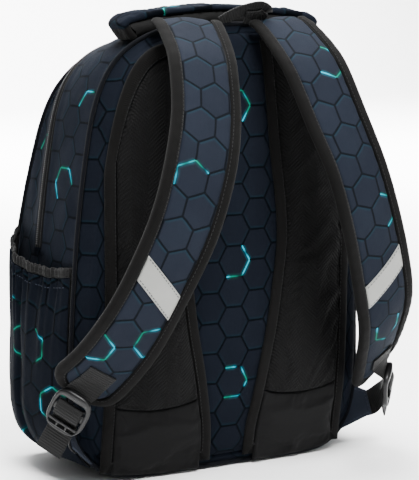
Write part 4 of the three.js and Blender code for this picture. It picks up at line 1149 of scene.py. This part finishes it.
def reflector(strap):
    width, lean = 24.0, 12.0
    reach = STRAP_WIDTH / 2 - STRAP_BINDING - GAP
    middle = strap.length * 0.66
    c = np.linspace(-1, 1, 25)
    cc, tt = np.meshgrid(c, np.linspace(-0.5, 0.5, 13), indexing="ij")
    along = middle - lean * cc + width * tt
    base = 2.0 * (1 - cc ** 2) + 0.4 - 0.5 * np.exp(-(1 - np.abs(cc)) * 24 / 2.0)
    wave = 0.25 * soft_noise(cc * 2.5, tt * 3, 131)
    rim = 0.5 * np.exp(-(0.5 - np.abs(tt)) * width / 0.8)
    face = strap.point(cc * reach, along, base + 0.75 + wave - rim)
    back = strap.point(cc * reach, along, base - 0.3)
    u, v = sheet_coords(cc * reach, along)
    loft_piece(f"reflective_band_{strap.word}", sheet_section(face, back), u, v, REFLECT,
               (f"reflector_{strap.word}",))
    rows = []
    for edge in (-0.5 + 1.9 / width, 0.5 - 1.9 / width):
        a = middle - lean * c + width * edge
        rows.append((strap.point(c * reach * 0.97, a, 2.0 * (1 - c ** 2) + 1.2), strap.facing(a)))
    return rows


def seam_rows():
    """Stitch lines on the gusset beside the seams of the back panel and of the front."""
    w, side, _ = over_top(10.0, 500)
    lines = [(gusset(w, side, depth, 0.15), depth) for depth in (0.045, 0.955)]
    return [(line, unit(gusset(w, side, depth, 5.0) - line)) for line, depth in lines]


# The zip: two tapes, the coil's turns and the slider.
def over_top(z, count):
    """Places over the top of the outline, from the height z on one side to the same height on the other."""
    start = float(length_at(float(place_at_height(z))))
    s = np.linspace(start, 2 * GIRTH - start, count)
    return *folded(s), s


def on_zip(w, side, y, off):
    return gusset(w, side, depth_at(w, ZIP + y), off)


def zip_tape():
    w, side, s = over_top(210.0, 330)
    half = [(0.2, 1.5), (1.8, 1.7), (2.1, 2.6), (2.5, 2.7), (2.9, 2.3), (3.4, 1.6), (5.0, 1.5), (6.2, 1.35),
            (6.4, 0.9)]
    shape = [(-y, off) for y, off in half[::-1]] + half + [(6.4, 0.45), (0, 0.45), (-6.4, 0.45)]
    wave = 0.25 * soft_noise(s / 34, 0 * s, 141)
    rings = np.stack([on_zip(w, side, y, off + (wave if off > 0.5 else 0)) for y, off in shape], axis=1)
    u, v = spread([y for y, _ in shape] + [shape[0][0]], s)
    loft_piece("zip_tape", rings, u, v, TAPE, ("main_zip",))
    out = unit(on_zip(w, side, 0, 6.0) - on_zip(w, side, 0, 0.0))
    return [(on_zip(w, side, y, 1.75), out) for y in (-5.3, 5.3)]


def zip_coil():
    foot = float(length_at(float(place_at_height(212.0))))
    span = 2 * GIRTH - foot - foot
    count = int(span / 1.9)
    s = foot + (np.arange(count) + 0.5) * span / count
    w, side = folded(s)
    shape = [(-1.75, 1.5), (-1.2, 2.75), (0.0, 3.0), (1.2, 2.75), (1.75, 1.5)]
    rows = []
    for step in (-0.5, 0.0, 0.5):
        place = place_at_length(np.where(s <= GIRTH, s + step, 2 * GIRTH - s - step).clip(0, GIRTH))
        rows.append(np.stack([on_zip(place, side, y, off) for y, off in shape], axis=1))
    rows[1] = rows[1] + (unit(rows[1][:, 2] - on_zip(w, side, 0, 0.0)) * 0.35)[:, None]
    points = np.concatenate(rows, axis=1).reshape(-1, 3)
    n = len(shape)
    cells = [[a, a + 1, a + n + 1, a + n] for a in range(2 * n) if (a + 1) % n]
    faces = (np.arange(count)[:, None, None] * (3 * n) + np.array(cells)[None]).reshape(-1, 4)
    add_mesh("zip_coil", points, faces, None, COIL)


def slider():
    """Each part by rounded sections: rows of (place along the travel, half width, low, high)."""
    reach, base, sides = 35.0, 3.6, 16
    w, foot = (float(place_at_height(z)) for z in (262.0, 262.0 - reach))
    body = [(-0.01, 2.6, 0.6, 1.9), (0.0, 3.6, 0.1, 3.0), (0.06, 3.9, 0.0, 3.3), (0.2, 3.7, 0.0, 3.4),
            (0.27, 2.9, 0.0, 3.2), (0.3, 2.4, 0.3, 2.4)]
    bridge = [(0.03, 0.9, 3.0, 3.4), (0.06, 1.0, 3.1, 4.6), (0.2, 1.0, 3.1, 4.7), (0.26, 0.9, 2.8, 3.3)]
    pull = [(0.19, 2.2, 3.6, 4.3), (0.22, 2.5, 2.6, 4.4), (0.34, 2.6, 1.2, 2.9), (0.42, 2.6, 0.5, 2.1),
            (0.5, 3.1, 0.3, 1.9), (0.7, 3.4, 0.2, 1.8), (0.93, 3.4, 0.2, 1.8), (0.98, 2.9, 0.3, 1.6)]
    c, s = squared(np.linspace(0, 2 * np.pi, sides + 1)[:-1], 0.55)
    for name, rows in (("slider_body", body), ("slider_bridge", bridge), ("slider_pull", pull)):
        rings = np.stack([on_zip(mix(w, foot, t), 1.0, c * wide, base + (low + high) / 2 + s * (high - low) / 2)
                          for t, wide, low, high in rows])
        u, v = spread(np.arange(sides + 1.0), [row[0] * reach for row in rows])
        node = ("zip_slider",) if name == "slider_body" else ()
        loft_piece(name, rings, u, v, SLIDER, node)


# Side pockets.
def mouth_height(s):
    return 200.0 + 25.0 * s * s - 8.0 * np.sin(np.pi * s)


def pocket_off(s, up):
    rear, fore = read(POCKET_UP, POCKET_REAR, up), read(POCKET_UP, POCKET_FORE, up)
    belly = np.sin(np.pi * np.clip(s, 0, 1))
    fullness = mix(rear, fore, ease((s - 0.3) / 0.4)) * belly ** 0.6
    ends = np.minimum(1, belly * 3)
    crease = 4.0 * np.exp(-((s - 0.55) / 0.06) ** 2) * ease(up * 6) * ease((0.85 - up) * 4)
    gather = 1.3 * np.sin(2 * np.pi * 5 * s) * ease((up - 0.6) * 2.5) * ends
    return 0.8 + np.maximum(0, 16.0 * fullness - crease + gather)


def pocket_point(side, s, up, extra):
    s, up, extra = np.broadcast_arrays(s, up, extra)
    top = mouth_height(s) - 9.0 - GAP
    w = mix(place_at_height(16.0), place_at_height(top), up)
    return gusset(w, side, mix(0.035, 0.965, s), pocket_off(s, up) + extra)


def pocket_cloth(word):
    side = SIDES[word]
    seed = 150 if word == "left" else 170
    s = np.linspace(0, 1, 150)
    up = np.concatenate([np.linspace(0, 0.06, 7)[:-1], np.linspace(0.06, 1, 128)])
    ss, uu = np.meshgrid(s, up)
    ends = np.sin(np.pi * ss) ** 0.5 * ease(uu / 0.04)
    top = ease((uu - 0.55) / 0.45)
    fine = np.sin(2 * np.pi * (23 * ss + 1.5 * wave_noise(ss * 9, uu * 2, seed))) * np.exp(-(1 - uu) * 17)
    long_fold = np.sin(2 * np.pi * (11 * ss + 0.8 * wave_noise(ss * 7, uu * 1.3, seed + 3))) * top
    slump = 1.3 * soft_noise(ss * 2.6, uu * 4.2, seed + 5) + 0.5 * soft_noise(ss * 8, uu * 11, seed + 9)
    sag = 1.3 * np.exp(-((ss - 0.3 - 0.25 * uu) / 0.05) ** 2) * ease((0.75 - uu) * 3) * ease(uu * 5)
    fold = -3.4 * np.exp(-((ss - 0.56 - 0.04 * np.sin(3.0 * uu)) / 0.02) ** 2)
    fold = fold * ease(uu * 4) * ease((0.99 - uu) * 9)
    relief = ends * (1.15 * fine + 1.0 * long_fold + slump + sag + fold)
    face = pocket_point(side, ss, uu, 2.0 + relief)
    thin = pocket_point(side, ss, uu, np.minimum(0.6, relief * 0.6 + 0.3))
    flat = pocket_point(1.0, ss, uu, 0.0)
    u, v = sheet_coords(flat[..., 1], flat[..., 2])
    piece = loft_piece(f"pocket_cloth_{word}", sheet_section(face, thin), u, v, CLOTH["pocket"],
                       (f"side_pocket_{word}",))
    line_back(piece, len(up), len(s), LINING)
    low, line, high = (pocket_point(side, s[4:-4], 0.965, off) for off in (0.0, 2.75, 8.0))
    return [(line, unit(high - low))]


def pocket_elastic(word):
    side = SIDES[word]
    seed = 190 if word == "left" else 210
    tall, thick = 9.0, 2.6
    s = np.linspace(0, 1, 260)
    low = pocket_point(side, s, 1.0, 0.0)
    out = unit(pocket_point(side, s, 1.0, thick) - low)
    ends = np.minimum(1, np.sin(np.pi * s) * 3)
    ruffle = 0.55 * np.sin(2 * np.pi * (24 * s + wave_noise(s * 11, 0 * s, seed))) * ends
    edge_wave = 0.7 * np.sin(2 * np.pi * (21 * s + wave_noise(s * 8, 0 * s, seed + 1))) * ends
    rings = []
    section = [(0.2, 0.1), (0.75, 0.0), (1.0, 0.12), (1.08, 0.35), (0.98, 0.5), (1.08, 0.68), (1.0, 0.92),
               (0.7, 1.0), (0.25, 1.0), (0.0, 0.9), (0.06, 0.5), (0.0, 0.1)]
    for share, height in section:
        push = share * thick + ruffle * (0.4 + 0.6 * height)
        p = low + out * push[:, None]
        p[:, 2] = low[:, 2] + GAP + tall * height + edge_wave * height * (height > 0.6)
        p[:, 1] = low[:, 1]
        rings.append(p)
    girth = np.array([0, 2, 3, 5, 7, 9, 11, 12, 13, 14, 18, 22, 23.0])
    v, u = spread(girth, arc_length(low))
    loft_piece(f"elastic_{word}", np.stack(rings, axis=1), u, v, ELASTIC,
               (f"pocket_elastic_{word}",))


# Ribbons, ladder locks and what is threaded through them.
def ribbon_piece(name, middle, over, facing, width, thickness, node, seed, bow=0.0):
    """A woven ribbon with rounded selvedges along rows of middles."""
    steps = arc_length(middle)
    shares = np.array([-1, -0.97, -0.9, -0.6, -0.3, 0, 0.3, 0.6, 0.9, 0.97, 1.0])
    thick = np.array([0.45, 0.8, 1, 1, 1, 1, 1, 1, 1, 0.8, 0.45]) * thickness / 2
    wave = 0.12 * soft_noise(steps / 14, 0 * steps, seed)[:, None, None]
    flat = middle[:, None] + over[:, None] * (shares * width / 2)[:, None]
    face, back = (flat + facing[:, None] * (t + bow * (1 - shares ** 2))[:, None] + facing[:, None] * wave
                  for t in (thick, -thick))
    u, v = sheet_coords(*spread(shares * width / 2, steps))
    return loft_piece(name, sheet_section(face, back), u, v, WEB, (node,))


class Lock:
    """A ladder lock's own directions: over its width, down its length and out of its face."""

    def __init__(self, word):
        self.side = SIDES[word]
        self.middle = np.array([1.125 * HALF, ZIP - BACK - 0.065 * STAND_OFF, 0.188 * HEIGHT - LET_OUT[word]])
        self.way = unit(np.array([0.3, 0.39, -0.87]))
        self.facing = square_to(self.way, np.array([0.726, -0.682, -0.056]))
        self.over = np.cross(self.facing, self.way)

    def at(self, across, along, out):
        across, along, out = (a[..., None] for a in np.broadcast_arrays(across, along, out))
        return (self.middle + across * self.over + along * self.way + out * self.facing) * [self.side, 1, 1]


def bar_piece(name, lock, spine, half_width, low, high):
    """A rounded moulded bar along a spine of (across, along) points."""
    sides = 20
    way = unit(np.gradient(spine, axis=0))
    side = np.stack([-way[:, 1], way[:, 0]], -1)
    c, s = squared(np.linspace(0, 2 * np.pi, sides, endpoint=False), 0.6)
    flat = spine[:, None] + side[:, None] * c[:, None] * half_width
    rings = lock.at(flat[..., 0], flat[..., 1], (low + high) / 2 + s * (high - low) / 2)
    u, v = spread(np.arange(sides + 1.0), np.arange(len(spine)))
    return loft_piece(name, rings, u, v, PLASTIC)


def rounded(angle, power):
    """A point of a rounded rectangle of half sides 1 at each angle."""
    c, d = np.cos(angle), np.sin(angle)
    size = (np.abs(c) ** power + np.abs(d) ** power) ** (-1 / power)
    return c * size, d * size


def ladder_lock(word):
    lock = Lock(word)
    w, h, t = LOCK_WIDTH / 2, LOCK_LENGTH / 2, LOCK_THICK / 2
    count = 96
    angle = np.linspace(0, 2 * np.pi, count, endpoint=False)
    outer = np.stack(rounded(angle, 3.0), -1) * [w, h]
    middle_y, tall = 2.6, 14.4
    inner = np.stack(rounded(angle, 6.0), -1) * [w - 3.9, tall] + [0, middle_y]
    shares = [0.0, 0.1, 0.3, 0.6, 0.88, 1.0, 1.0, 0.88, 0.5, 0.1, 0.0]
    highs = [0.5, 1.0, 1.25, 1.25, 1.1, 0.6, -0.6, -1.1, -1.3, -1.1, -0.55]
    crest = 1.0 + 0.85 * np.exp(-((outer[:, 1] + h) / 5.5) ** 2) * (1 - (outer[:, 0] / w) ** 2)
    rings = []
    for share, high in zip(shares, highs):
        flat = mix(outer, inner, share)
        rings.append(lock.at(flat[:, 0], flat[:, 1], t * high * np.where(high > 0, crest, 1.0)))
    u, v = spread(np.arange(len(shares) + 1.0), np.arange(count + 1.0))
    loft_piece(f"lock_frame_{word}", np.stack(rings, axis=1), u, v, PLASTIC,
               (f"ladder_lock_{word}",), closed=True)
    x = np.linspace(-1, 1, 41)
    bar_piece(f"lock_bar_{word}", lock, np.stack([x * (w - 2.6), 0 * x], -1), 3.2, -t * 0.8, t * 0.7)
    strip = middle_y + tall - 4.3
    bar_piece(f"lock_strip_{word}", lock, np.stack([x * (w - 2.8), strip + 0 * x], -1), 1.2, -t * 0.9, t * 0.9)
    for k, place in enumerate((-4.6, 4.6)):
        stub = np.stack([np.full(7, place), np.linspace(strip, middle_y + tall + 0.6, 7)], -1)
        bar_piece(f"lock_rib_{word}_{k}", lock, stub, 1.2, -t * 0.85, t * 0.85)
    return lock


def patch(strap, lock):
    """The webbing sewn to a strap's foot that runs into its lock; returns its stitch lines."""
    foot = strap.length - END_ROUND * 1.25
    middle, _, over, facing = strap.frame(np.linspace(foot - 16.0, foot, 14))
    middle = middle + facing * 2.6
    goal = lock.middle + lock.way * (-LOCK_LENGTH / 2 + 2.2) - lock.facing * 2.6
    t = np.linspace(0, 1, 22)[1:, None]
    overs = unit(mix(over[-1], lock.over, ease(t)))
    faces = square_to(overs, mix(facing[-1], lock.facing, ease(t)))
    middle = np.concatenate([middle, mix(middle[-1], goal, t)])
    over = np.concatenate([over, overs])
    facing = np.concatenate([facing, faces])
    m = np.array([strap.side, 1, 1])
    ribbon_piece(f"webbing_tongue_{strap.word}", middle * m, over * m, facing * m, 27.0, 1.6,
                 f"webbing_patch_{strap.word}", 231, bow=0.3)

    def row(start, end, first, last, count):
        middle, _, over, facing = strap.frame(np.linspace(foot - start, foot - end, count))
        return (middle + facing * 3.55 + over * np.linspace(first, last, count)[:, None]) * m, facing * m

    return [row(16.0, 2.0, -11, -11, 16), row(16.0, 2.0, 11, 11, 16), row(15.0, 15.0, -11, 11, 16),
            row(2.5, 2.5, -11, 11, 16), row(15.0, 2.5, -11, 11, 20), row(15.0, 2.5, 11, -11, 20)]


class Tab:
    """A corner tab's foot on the back seam and its directions towards its lock."""

    def __init__(self, lock):
        self.root = self.seam(0.5)
        goal = lock.middle + lock.way * LOCK_LENGTH * 0.5 - lock.facing * LOCK_THICK * 2
        self.way = unit(goal - self.root)
        self.over = square_to(self.way, unit(self.seam(1.0) - self.seam(0.0)))
        self.facing = np.cross(self.way, self.over)

    def seam(self, t):
        low, tall, clear = 15.0, 44.0, 2.0
        return gusset(place_at_height(low + tall * np.asarray(t, float)), 1.0, 0.0, clear)


def tab_piece(word, lock):
    tab = Tab(lock)
    m = np.array([lock.side, 1, 1])
    long, wide = 20.0, 33.0
    t = np.linspace(0, 1, 25)
    k = np.linspace(0, 1, 19)[:, None]
    tip = tab.root + tab.way * long + tab.over * ((t - 0.5) * 24.0)[:, None]
    sheet = mix(tab.seam(t)[None], tip[None], k[..., None])
    rim = np.minimum(np.minimum(t, 1 - t) * wide, np.minimum(k, 1 - k) * long)
    puffy = 0.9 + 0.7 * (1 - np.exp(-rim / 1.6)) + 0.25 * soft_noise(t * 4 + 0 * k, k * 3 + 0 * t, 241)
    face, back = ((sheet + tab.facing * out[..., None]) * m for out in (puffy, -puffy))
    u, v = sheet_coords(*spread(t * wide, k[:, 0] * long))
    loft_piece(f"corner_tab_{word}", sheet_section(face, back), u, v, TAB,
               (f"anchor_tab_{word}",))
    away = -1.0 if tab.facing.dot(lock.facing) < 0 else 1.0
    low, high = (tab.root + tab.way * 18.5 + tab.over * a for a in (-10.0, 10.0))
    edges = ((tab.seam(0.08), low, 0.05, 1), (low, high, 0, 1), (high, tab.seam(0.92), 0, 0.95))
    rows = []
    for sign in (1.0, -1.0):
        for start, end, first, last in edges:
            line = mix(start, end, np.linspace(first, last, 12)[:, None]) + tab.facing * 1.75 * sign
            rows.append((line * m, tab.facing * sign * m))
    return tab, away, rows


THREADING = [
    (0.3, -2.1), (0.08, -1.35), (-0.11, -1.1), (-0.175, -0.3), (-0.155, 0.6), (-0.08, 1.0), (0.08, 1.0),
    (0.155, 0.6), (0.175, -0.25), (0.22, -0.9), (0.36, -1.05), (0.6, -0.9),
]


TAIL_END = {"left": 44.0, "right": 31.0}  # where each tail ends, below its lock's middle


def adjuster(word, lock, tab, away):
    """The webbing sewn to the tab, threaded through the lock, with its free tail."""
    lift = tab.facing * ((1.8 + 1.5) / 2 + GAP) * away
    sewn = [tab.root + tab.way * 20.0 * t + lift for t in (0.45, 1.1)]
    inside = [lock.middle + lock.way * a * LOCK_LENGTH + lock.facing * o * LOCK_THICK for a, o in THREADING]
    end = lock.middle + lock.way * TAIL_END[word] - lock.facing * LOCK_THICK * 0.5
    curve, share = centripetal([*sewn, *inside, end], 12)
    arc = arc_length(curve)
    at = np.linspace(0, arc[-1], 110)
    middle = along_path(at, arc, curve)
    way = unit(np.gradient(middle, axis=0))
    turn = ease(np.interp(at, arc, share) * 5 - 0.3)[:, None]
    over = square_to(way, mix(tab.over, lock.over, turn))
    facing = np.cross(way, over)
    m = np.array([lock.side, 1, 1])
    ribbon_piece(f"tail_webbing_{word}", middle * m, over * m, facing * m, WEBBING, 1.5,
                 f"adjuster_webbing_{word}", 251)


# The handle and the hang loop.
HANDLE = [(0.955, -0.2), (0.985, 0.12), (0.94, 0.4), (0.8, 0.62), (0.5, 0.84), (0.25, 0.96), (0, 1)]
HANDLE_Y, HANDLE_HALF = ZIP - 68.0, 15.0


class Handle:
    """The handle's arch in the plane of its own depth."""

    def __init__(self):
        rows = [np.array([a * 105.0, 0.0, HEIGHT + up * 20.0]) for a, up in HANDLE]
        w = float(place_across_top(rows[0][0] * 0.91))
        foot = gusset(w, 1.0, depth_at(w, HANDLE_Y), 1.2)
        side = [np.array([foot[0], 0.0, foot[2]]), *rows]
        other = [p * [-1, 1, 1] for p in side[:-1][::-1]]
        self.curve, _ = centripetal([*side, *other], 40)
        self.arc = arc_length(self.curve)
        self.length = self.arc[-1]

    def point(self, share, c, n):
        share, c, n = np.broadcast_arrays(share, c, n)
        behind, middle, ahead = (along_path(share * self.length + step, self.arc, self.curve)
                                 for step in (-0.4, 0, 0.4))
        way = unit(ahead - behind)
        out = np.stack([way[..., 2], 0 * way[..., 0], -way[..., 0]], -1)
        p = middle - out * n[..., None]
        p[..., 1] = HANDLE_Y + c * HANDLE_HALF
        return p


def handle_band(name, handle, start, end, high, low, material, node, crown, seed):
    rows, columns = 150, 25
    tt, cc = np.meshgrid(np.linspace(start, end, rows), np.linspace(-1, 1, columns), indexing="ij")
    rim = np.minimum((1 - np.abs(cc)) * HANDLE_HALF, np.minimum(tt - start, end - tt) * handle.length)
    dome = np.sqrt(np.clip(1 - (1 - np.clip(rim / 4.5, 0, 1)) ** 2, 0, 1))
    relief = 0.4 * soft_noise(cc * 1.6, tt * 9, seed) + 0.18 * soft_noise(cc * 4, tt * 26, seed + 3)
    mid = (high + low) / 2
    thick = (low - high) / 2
    swell = thick * (0.35 + 0.65 * dome)
    face = handle.point(tt, cc, mid - swell - crown * dome * (1 - cc ** 2) - relief * dome)
    back = handle.point(tt, cc, mid + swell - relief * dome * 0.5)
    u, v = sheet_coords(cc * HANDLE_HALF, tt * handle.length)
    piece = loft_piece(name, sheet_section(face, back), u, v, material, (node,))
    if crown:
        piece.data.materials.append(TWILL)
        middles = (np.arange(len(piece.data.polygons)) // (2 * columns) + 0.5) / (rows - 1)
        ends = (middles < 0.052) | (middles > 0.948)
        piece.data.polygons.foreach_set("material_index", ends.astype(int))
    puff(piece, held_edges(rows, columns), 4.0, 1.5)
    return piece


def hang_loop():
    shape = [(-0.24, 0.3, 0.15), (-0.1, 0.5, 0.3), (0.28, 0.88, 0.7), (0.62, 0.98, 0.8), (0.76, 0.78, 0.75),
             (0.62, 0.56, 0.6), (0.3, 0.5, 0.5)]
    curve, _ = centripetal([(a * 44.0, ZIP - 92.0 - b * 14.0, HEIGHT + up * 19.0) for a, up, b in shape], 30)
    arc = arc_length(curve)
    middle = along_path(np.linspace(0, arc[-1], 90), arc, curve)
    way = unit(np.gradient(middle, axis=0))
    over = square_to(way, unit(np.array([0.0, 0.62, -0.78])))
    middle = middle - np.array([0.0, 0.0, 2.5])
    ribbon_piece("loop_webbing", middle, over, np.cross(way, over), 14.0, 1.6, "hang_loop", 261)


# The camera, the lights and the floor.
def look_from(azimuth, elevation, distance, target, lens):
    a, e = math.radians(azimuth), math.radians(elevation)
    back = np.array([math.sin(a) * math.cos(e), -math.cos(a) * math.cos(e), math.sin(e)])
    camera = bpy.data.objects.new("camera", bpy.data.cameras.new("camera"))
    camera.data.lens = lens
    camera.data.sensor_width = 36.0
    aim_at(camera, np.array(target) + back * distance, target)
    bpy.context.scene.camera = camera


def aim_at(thing, place, target):
    thing.location = place
    thing.rotation_euler = (Vector(target) - Vector(place)).to_track_quat("-Z", "Y").to_euler()
    bpy.context.scene.collection.objects.link(thing)


def area_light(name, place, target, size, power):
    lamp = bpy.data.lights.new(name, "AREA")
    lamp.energy = power
    lamp.size = size
    aim_at(bpy.data.objects.new(name, lamp), place, target)


def studio():
    world = bpy.data.worlds.new("studio")
    world.use_nodes = True
    background = world.node_tree.nodes["Background"]
    background.inputs[0].default_value = (0.94, 0.96, 1.0, 1)
    background.inputs[1].default_value = 0.13
    bpy.context.scene.world = world
    area_light("key", (-0.1, -1.15, 1.95), (0, 0, 0.2), 0.9, 120)
    area_light("front", (0.5, -2.2, 0.7), (0, 0, 0.2), 0.8, 11)
    area_light("top", (0.0, 0.5, 2.0), (0, 0.35, 0.0), 1.6, 185)
    area_light("backdrop", (1.4, 2.4, 2.6), (2.4, 4.4, 0.2), 2.2, 1250)
    net = Net("floor")
    paper = net.noise(net.place(), 14.0, 3.0)
    net.finish(net.mix(paper, (0.93, 0.93, 0.93), (0.95, 0.95, 0.95)), 0.9, specular=0.1)
    mesh = bpy.data.meshes.new("floor")
    near, bend, rise, half = -9.0, 4.6, 3.0, 8.0
    profile = [(near, 0.0), (bend, 0.0)]
    profile += [(bend + math.sin(t), 1.0 - math.cos(t)) for t in np.linspace(0.15, math.pi / 2, 12)]
    profile.append((bend + 1.0, rise))
    points = [(x, y, z) for y, z in profile for x in (-half, half)]
    faces = [(2 * i, 2 * i + 1, 2 * i + 3, 2 * i + 2) for i in range(len(profile) - 1)]
    mesh.from_pydata(points, [], faces)
    mesh.polygons.foreach_set("use_smooth", [True] * len(faces))
    mesh.materials.append(net.material)
    floor = bpy.data.objects.new("floor", mesh)
    bpy.context.scene.collection.objects.link(floor)


def build():
    studio()
    look_from(-30, 8, 1.693, (-0.0008, -0.045, 0.213), 135)
    body_cloth()
    front_cloth()
    panel_cloth()
    cord_piece("panel_cord", 0.0, 2.0, "panel_piping")
    cord_piece("front_cord", 1.0, 1.7, "front_piping")
    dark, grey, navy = zip_tape(), [], seam_rows()
    zip_coil()
    slider()
    for word, side in SIDES.items():
        pad_piece(f"mesh_cushion_{word}", side, True, MESH, f"mesh_pad_{word}")
        pad_piece(f"lower_cushion_{word}", side, False, SMOOTH, f"lower_pad_{word}")
        dark += pad_binding(f"pad_edge_{word}", side, f"pad_binding_{word}")
        navy += pocket_cloth(word)
        pocket_elastic(word)
        strap = Strap(word)
        strap_cloth(strap)
        dark += strap_binding(strap)
        grey += reflector(strap)
        lock = ladder_lock(word)
        dark += patch(strap, lock)
        tab, away, rows = tab_piece(word, lock)
        navy += rows
        adjuster(word, lock, tab, away)
    handle = Handle()
    foot = 7.0
    under = foot + GAP
    handle_band("handle_cloth", handle, 0.0, 1.0, 0.0, foot, CLOTH["handle"], "handle",
                1.0, 271)
    handle_band("handle_under", handle, 0.085, 0.915, under, under + 13.0, LINING,
                "handle_lining", 0.0, 281)
    hang_loop()
    stitches("dark_stitches", dark, DARK_THREAD, "twill_tape", length=2.4, gap=1.2, radius=0.3)
    stitches("grey_stitches", grey, GREY_THREAD, "reflective_tape", length=2.2, gap=1.3, radius=0.32)
    stitches("navy_stitches", navy, NAVY_THREAD, "printed_cloth", length=2.4, gap=1.3, radius=0.3)


build()
